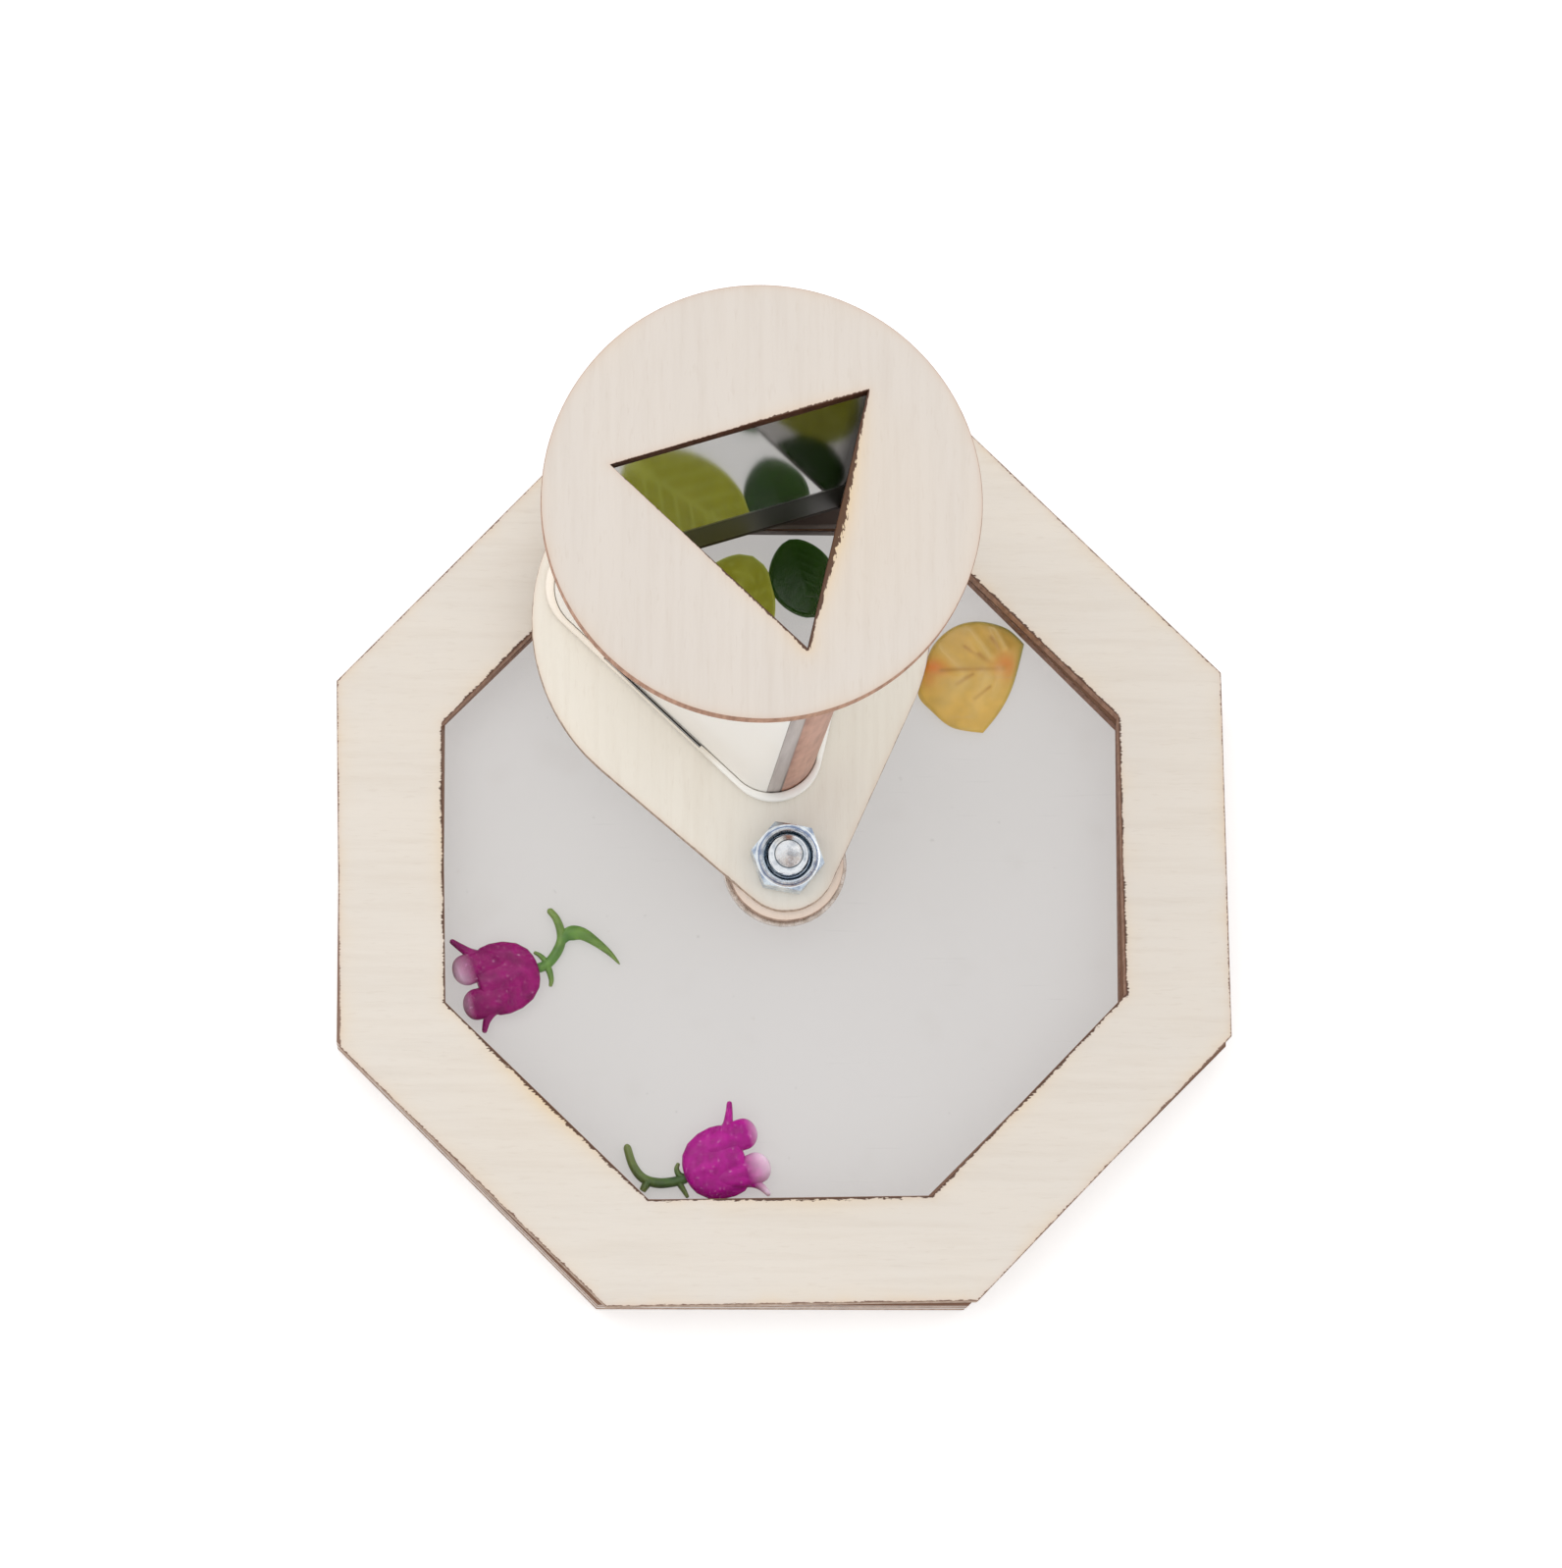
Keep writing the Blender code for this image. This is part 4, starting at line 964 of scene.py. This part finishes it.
def make_bell(name, angle, place, node, pales, tepals):
    """A tulip bell on its side: a ribbed body, two lobes and two tepals, in millimetres from its base."""
    low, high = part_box(node)
    middle = (low.z + high.z) / 2
    depth = (high.z - low.z) / 2
    run = bunched(56)

    def part(label, places, half_width, half_depth, height=middle, **form):
        path = charm_path(places, angle, place, height, run)
        return pod(f"{name}_{label}", path, half_width, half_depth, **form)

    knots = np.array([0, 0.01, 0.03, 0.08, 0.22, 0.42, 0.64, 0.80, 0.90, 0.96, 0.99, 1.0])
    widths = np.array([0, 0.9, 1.6, 2.55, 3.7, 4.4, 4.62, 4.45, 3.9, 2.9, 1.6, 0]) * MM
    body_width = np.interp(run, knots, widths)
    full_depth = depth * np.clip(body_width / (3.2 * MM), 0, 1) ** 0.7
    parts = [part("body", [(-0.1, 0.0), (2.6, 0.0), (5.2, 0.0), (7.9, 0.0)], body_width, full_depth,
                  ribs=8, rib_share=0.07, power=0.8, pale=0.74)]
    lobe = 1.98 * MM * swell(run, 0.76)
    lift = depth * 0.97 * np.clip(lobe / (1.6 * MM), 0, 1) ** 0.7
    for sign, pale in zip((-1, 1), pales):
        parts.append(part(f"lobe{sign}", [(2.4, sign * 1.3), (5.2, sign * 2.15), (8.0, sign * 2.3),
                                          (10.42, sign * 2.1)], lobe, lift, middle + 0.12 * MM,
                          ribs=2, rib_share=0.04, power=0.8, pale=pale))
    tip = 0.70 * MM * np.interp(run, [0, 0.3, 0.93, 0.98, 1], [0.9, 1.0, 0.5, 0.36, 0])
    for index, (pale, *places) in enumerate(tepals):
        parts.append(part(f"tepal{index}", places, tip, np.minimum(tip * 1.2, depth * 0.8), around=20,
                          pale=pale))
    return join(name, parts)


def make_stem(name, angle, place, node, strokes):
    """A moulded stem. A stroke is three half widths, the share where the second is, and its places."""
    low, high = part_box(node)
    share = bunched(44)
    rounded = np.sqrt(1 - (1 - np.clip(np.minimum(share, 1 - share) / 0.05, 0, 1)) ** 2)
    parts = []
    for index, (start, widest, end, peak, *places) in enumerate(strokes):
        path = charm_path(places, angle, place, (low.z + high.z) / 2, share)
        half_width = MM * np.interp(share, [0, peak, 1], [start, widest, end]) * rounded
        half_depth = (high.z - low.z) / 2 * np.clip(half_width / (0.6 * MM), 0.0, 1) ** 0.6
        parts.append(pod(f"{name}_{index}", path, half_width, half_depth, power=0.9, around=24))
    return join(name, parts)


def make_tulips():
    """The two tulip charms: both bells, then both stems."""
    where = {"left": (math.radians(197.55), np.array([-30.70, -13.19]) * MM),
             "low": (math.radians(21.5), np.array([-12.10, -39.45]) * MM)}
    bells = {
        "left": ((tone(154, 0, 108), tone(244, 210, 236), 1), (1.14, 0.94), (
            (0.80, (6.0, -3.3), (7.4, -4.0), (8.5, -5.2), (9.5, -6.5)),
            (0.80, (5.9, 3.2), (7.1, 3.7), (8.1, 4.6), (8.9, 6.0)))),
        "low": ((tone(188, 8, 150), tone(250, 222, 242), 5), (1.20, 0.92), (
            (0.76, (6.0, 3.3), (7.1, 3.9), (7.9, 5.2), (8.6, 6.8)),
            (1.35, (5.9, -3.2), (7.3, -3.65), (8.3, -4.6), (9.0, -6.1)))),
    }
    stems = {
        "left": ((tone(66, 112, 40), tone(104, 146, 60), 2), (
            (0.62, 0.66, 0.42, 0.4, (0.6, 0.1), (-1.1, 0.0), (-2.6, -0.9), (-3.75, -2.2), (-4.15, -3.6),
             (-4.05, -5.3), (-3.45, -6.7)),
            (0.60, 0.98, 0.12, 0.28, (-3.5, -2.2), (-4.9, -2.9), (-6.5, -2.5), (-7.9, -1.0), (-9.2, 0.95),
             (-10.0, 2.7)),
            (0.5, 0.48, 0.22, 0.3, (-0.5, 0.1), (-1.2, 0.45), (-1.2, 1.9), (-0.8, 2.8)),
            (0.5, 0.42, 0.2, 0.3, (-0.6, 0.1), (-1.1, -0.5), (-0.7, -1.4), (-0.1, -2.0)))),
        "low": ((tone(50, 82, 34), tone(78, 108, 46), 8), (
            (0.62, 0.66, 0.50, 0.4, (0.3, -0.3), (-1.75, -0.05), (-3.6, 0.55), (-5.05, 1.8), (-5.6, 3.8),
             (-5.4, 6.5)),
            (0.6, 0.6, 0.42, 0.3, (-4.2, 1.3), (-5.0, 0.8), (-5.7, 0.25)),
            (0.5, 0.45, 0.22, 0.3, (-0.3, 0.0), (-0.65, 0.5), (-0.65, 1.3), (-0.15, 1.9)),
            (0.5, 0.46, 0.22, 0.3, (-0.5, -0.2), (-0.95, -0.5), (-0.8, -1.6), (-0.65, -2.6)))),
    }
    for side, (colours, pales, tepals) in bells.items():
        bell = make_bell(f"tulip_{side}_petals", *where[side], f"tulip_{side}_bell", pales, tepals)
        plastic = moulded(f"petals_{side}", petal_skin, *colours, (0.16 * MM, 0.7), PETAL)
        dress(bell, f"tulip_{side}", plastic, "magenta_petals", f"tulip_{side}_bell")
    for side, (colours, strokes) in stems.items():
        stem = make_stem(f"tulip_{side}_stalk", *where[side], f"tulip_{side}_stem", strokes)
        plastic = moulded(f"stem_{side}", stem_skin, *colours, (0.06 * MM, 0.5), STEM)
        dress(stem, f"tulip_{side}", plastic, "green_stem", f"tulip_{side}_stem")


def stroke_value(plane, strokes):
    """Each point's closeness to the nearest stroke."""
    value = np.zeros(plane.shape[:-1])
    for start, end, half in strokes:
        step = np.subtract(end, start)
        share = np.clip((plane - start) @ step / (step @ step), 0, 1)
        distance = np.linalg.norm(plane - start - share[..., None] * step, axis=-1)
        value = np.maximum(value, np.exp(-(distance / half) ** 2) * (1 - 0.5 * share))
    return value


def leaf_piece(name, outline, veins, node, patches, rim_side, strokes=(), ridge=0.20):
    """A domed leaf plate with raised veins. Veins, patches and strokes are in millimetres from its middle."""
    low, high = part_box(node)
    centre = outline.mean(0)
    shares = np.concatenate([np.linspace(0, 0.92, 30), [0.95, 0.98, 1.0]])
    local = (outline - centre) * np.concatenate([shares, shares[::-1]])[:, None, None]
    edge = outline_distance(local + centre, outline)
    vein, stroke = (stroke_value(local / MM, lines) for lines in (veins, strokes))
    patch = np.zeros(edge.shape)
    for place, reach, strength in patches:
        distance = np.linalg.norm((local / MM - place) / reach, axis=-1)
        patch = np.maximum(patch, strength * np.exp(-distance ** 2))
    facing = local @ np.array(rim_side) / np.maximum(np.linalg.norm(local, axis=-1), 1e-9)
    rim = np.exp(-edge / (0.35 * MM)) * np.clip(facing, 0.15, 1)
    thick = high.z - low.z
    ease = np.clip(edge / (0.5 * MM), 0, 1)
    dome = 0.55 + 0.25 * np.sqrt(np.clip(edge / (4 * MM), 0, 1)) + ridge * vein * ease
    top = dome - 0.35 * (1 - np.sqrt(1 - (1 - ease) ** 2))
    upper = np.arange(len(local))[:, None] < len(shares)
    height = low.z + thick * np.where(upper, top, 0.2 * (1 - ease))
    return grid_object(name, np.dstack([local + centre, height]), close_rows=False, sharp_angle=70,
                       channels={"vein": vein, "patch": patch, "rim": rim, "stroke": stroke})


def side_veins(start, end, count, spread, length, half):
    """A midrib and its pairs of side veins, each a start, an end and a half width."""
    step = end - start
    heading = math.atan2(step[1], step[0])
    veins = [(start, end, half)]
    for share in np.linspace(0.12, 0.8, count):
        root = start + step * share
        reach = length * (1 - 0.45 * share)
        veins += [(root, root + reach * unit(heading + sign * spread), half * 0.6) for sign in (-1, 1)]
    return veins


def oval_leaf(length, width, fullness, count=40):
    """A leaf's outline, whose half width is a flattened sine."""
    share = np.arange(1, count) / count
    side = np.stack([(share - 0.5) * length, width / 2 * np.sin(math.pi * share) ** fullness], 1)
    return np.concatenate([[[-length / 2, 0.0]], side * (1, -1), [[length / 2, 0.0]], side[::-1]])


def make_green_leaves():
    """Four green leaves. Their places, lengths, widths and turns are in millimetres and degrees."""
    lime = (tone(138, 138, 36), tone(156, 152, 50), tone(172, 176, 80), tone(150, 160, 80),
            tone(104, 104, 24))
    dark = (tone(32, 64, 10), tone(26, 50, 8), tone(36, 64, 16), tone(56, 90, 34), tone(20, 36, 6))
    # The value before each leaf's fullness is the strength of its painted glow.
    leaves = (
        ("lime", "long", lime, (-7.25, 31.15), 18.8, 12.2, 67.0, 0.5, 0.50),
        ("lime", "round", lime, (-17.0, 33.0), 8.4, 8.0, 140.0, 0.5, 0.58),
        ("dark", "upper", dark, (2.70, 36.95), 10.6, 8.5, -72.0, 0.30, 0.56),
        ("dark", "lower", dark, (7.0, 25.0), 8.6, 8.2, 200.0, 0.30, 0.58),
    )
    for index, (kind, where, colours, place, length, width, turn, painted_glow, fullness) in enumerate(leaves):
        node = f"{kind}_leaf_{where}"
        angle = math.radians(turn)
        outline = turn_and_move(oval_leaf(length, width, fullness), angle, place) * MM
        tip = unit(angle) * length / 2 * 0.95
        veins = side_veins(-tip, tip, 6, math.radians(48), width * 0.62, 0.30)
        piece = leaf_piece(node + "_plate", outline, veins, node, [((0, 0), (2, 2), 0.3)], (0, 1),
                           ridge=0.015)
        dress(piece, f"{kind}_{where}_charm", leaf_plastic(node + "_plastic", *colours, index * 3.0, painted_glow),
              kind + "_leaf", node)


def make_amber_leaf():
    """The amber leaf: soft uneven facets, orange patches and short orange streaks."""
    outline = smooth_outline(AMBER_LEAF_SHARES, 14, AMBER_LEAF_CORNERS) * AMBER_LEAF_SIZE + AMBER_LEAF_PLACE
    facets = [
        ((-1.0, 0.2), (-4.2, 3.6), 0.9), ((2.6, 2.2), (0.2, 5.6), 0.7), ((4.6, 3.4), (3.2, 6.2), 0.5),
        ((-0.6, -1.0), (-3.4, -3.6), 1.1), ((2.4, -0.6), (0.4, -5.2), 1.0), ((4.2, 0.4), (3.0, -3.0), 0.7)]
    patches = [
        ((-4.9, 0.7), (2.2, 1.1), 1.0), ((4.6, 0.9), (1.4, 1.6), 0.85), ((-5.2, -0.6), (1.1, 1.3), 0.5)]
    strokes = [
        ((-3.6, 0.3), (4.4, 0.6), 0.28), ((1.2, 2.4), (2.8, 1.2), 0.30), ((-0.6, 3.4), (0.9, 2.3), 0.22),
        ((0.4, -0.2), (-1.6, -1.5), 0.25), ((2.8, 4.6), (3.8, 3.2), 0.22), ((2.6, -1.8), (0.6, -3.4), 0.2)]
    plate = leaf_piece("amber_leaf_plate", outline, facets, "amber_leaf", patches, (0.75, 0.66), strokes)
    # The last value is the strength of the leaf's painted glow.
    plastic = leaf_plastic("amber_plastic", tone(214, 172, 78), tone(216, 124, 44), tone(218, 190, 120),
                           tone(150, 164, 96), tone(168, 116, 48), 2, 0.12)
    dress(plate, "amber_charm", plastic, "amber", "amber_leaf")


# Stage, light and camera
def make_stage():
    """A plain pale floor, a white world and one broad soft lamp."""
    half = 1.6
    corners = np.array([[(x, y, -0.05 * MM) for x in (-half, half)] for y in (-half, half)])
    floor = grid_object("floor", corners, close_rows=False, close_columns=False)
    shader = Shader("pale_floor")
    seen = shader.ray("Camera").max(shader.ray("Glossy").max(shader.ray("Transmission")))
    coat(floor, shader.set(Base_Color=tone(246, 246, 246), Roughness=0.9, Emission_Color=(1, 1, 1, 1),
                           Emission_Strength=seen * 0.34))
    world = bpy.data.worlds.new("studio")
    bpy.context.scene.world = world
    world.use_nodes = True
    sky = Nodes(world.node_tree)
    background = sky.tree.nodes["Background"].inputs
    sky.feed(background["Color"], (1, 1, 1, 1))
    sky.feed(background["Strength"], sky.ray("Camera").max(sky.ray("Transmission")).span(0, 1, 0.90, 1.0))
    lamp = bpy.data.lights.new("window_lamp", "AREA")
    lamp.shape = "DISK"
    lamp.size = 0.7
    lamp.energy = 1.7
    holder = add_object("window_lamp", lamp)
    holder.location = (-0.30, 0.30, 0.95)
    holder.rotation_euler = (Vector((0, 0, 0.02)) - holder.location).to_track_quat("-Z", "Y").to_euler()


def make_camera():
    """The photograph's camera, fitted to the octagon and the two round ends."""
    camera = bpy.data.cameras.new("camera")
    camera.sensor_fit = "HORIZONTAL"
    camera.sensor_width = 36.0
    focal_pixels = 6222.68
    frame_width_pixels = 1592
    camera.lens = focal_pixels * camera.sensor_width / frame_width_pixels
    holder = add_object("camera", camera)
    holder.location = (-0.0413129, -0.1082481, 0.767)
    holder.rotation_euler = (0.1542, -0.0539, -0.0012)
    bpy.context.scene.camera = holder


bpy.context.scene.view_settings.view_transform = "Standard"
make_camera()
make_stage()
make_rings()
make_hub()
make_arm_boards()
make_tube()
make_nut()
make_bolt()
coat(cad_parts["back_pane"], frosted_pane())
coat(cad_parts["front_pane"], clear_pane())
make_tulips()
make_amber_leaf()
make_green_leaves()
bpy.context.view_layer.update()
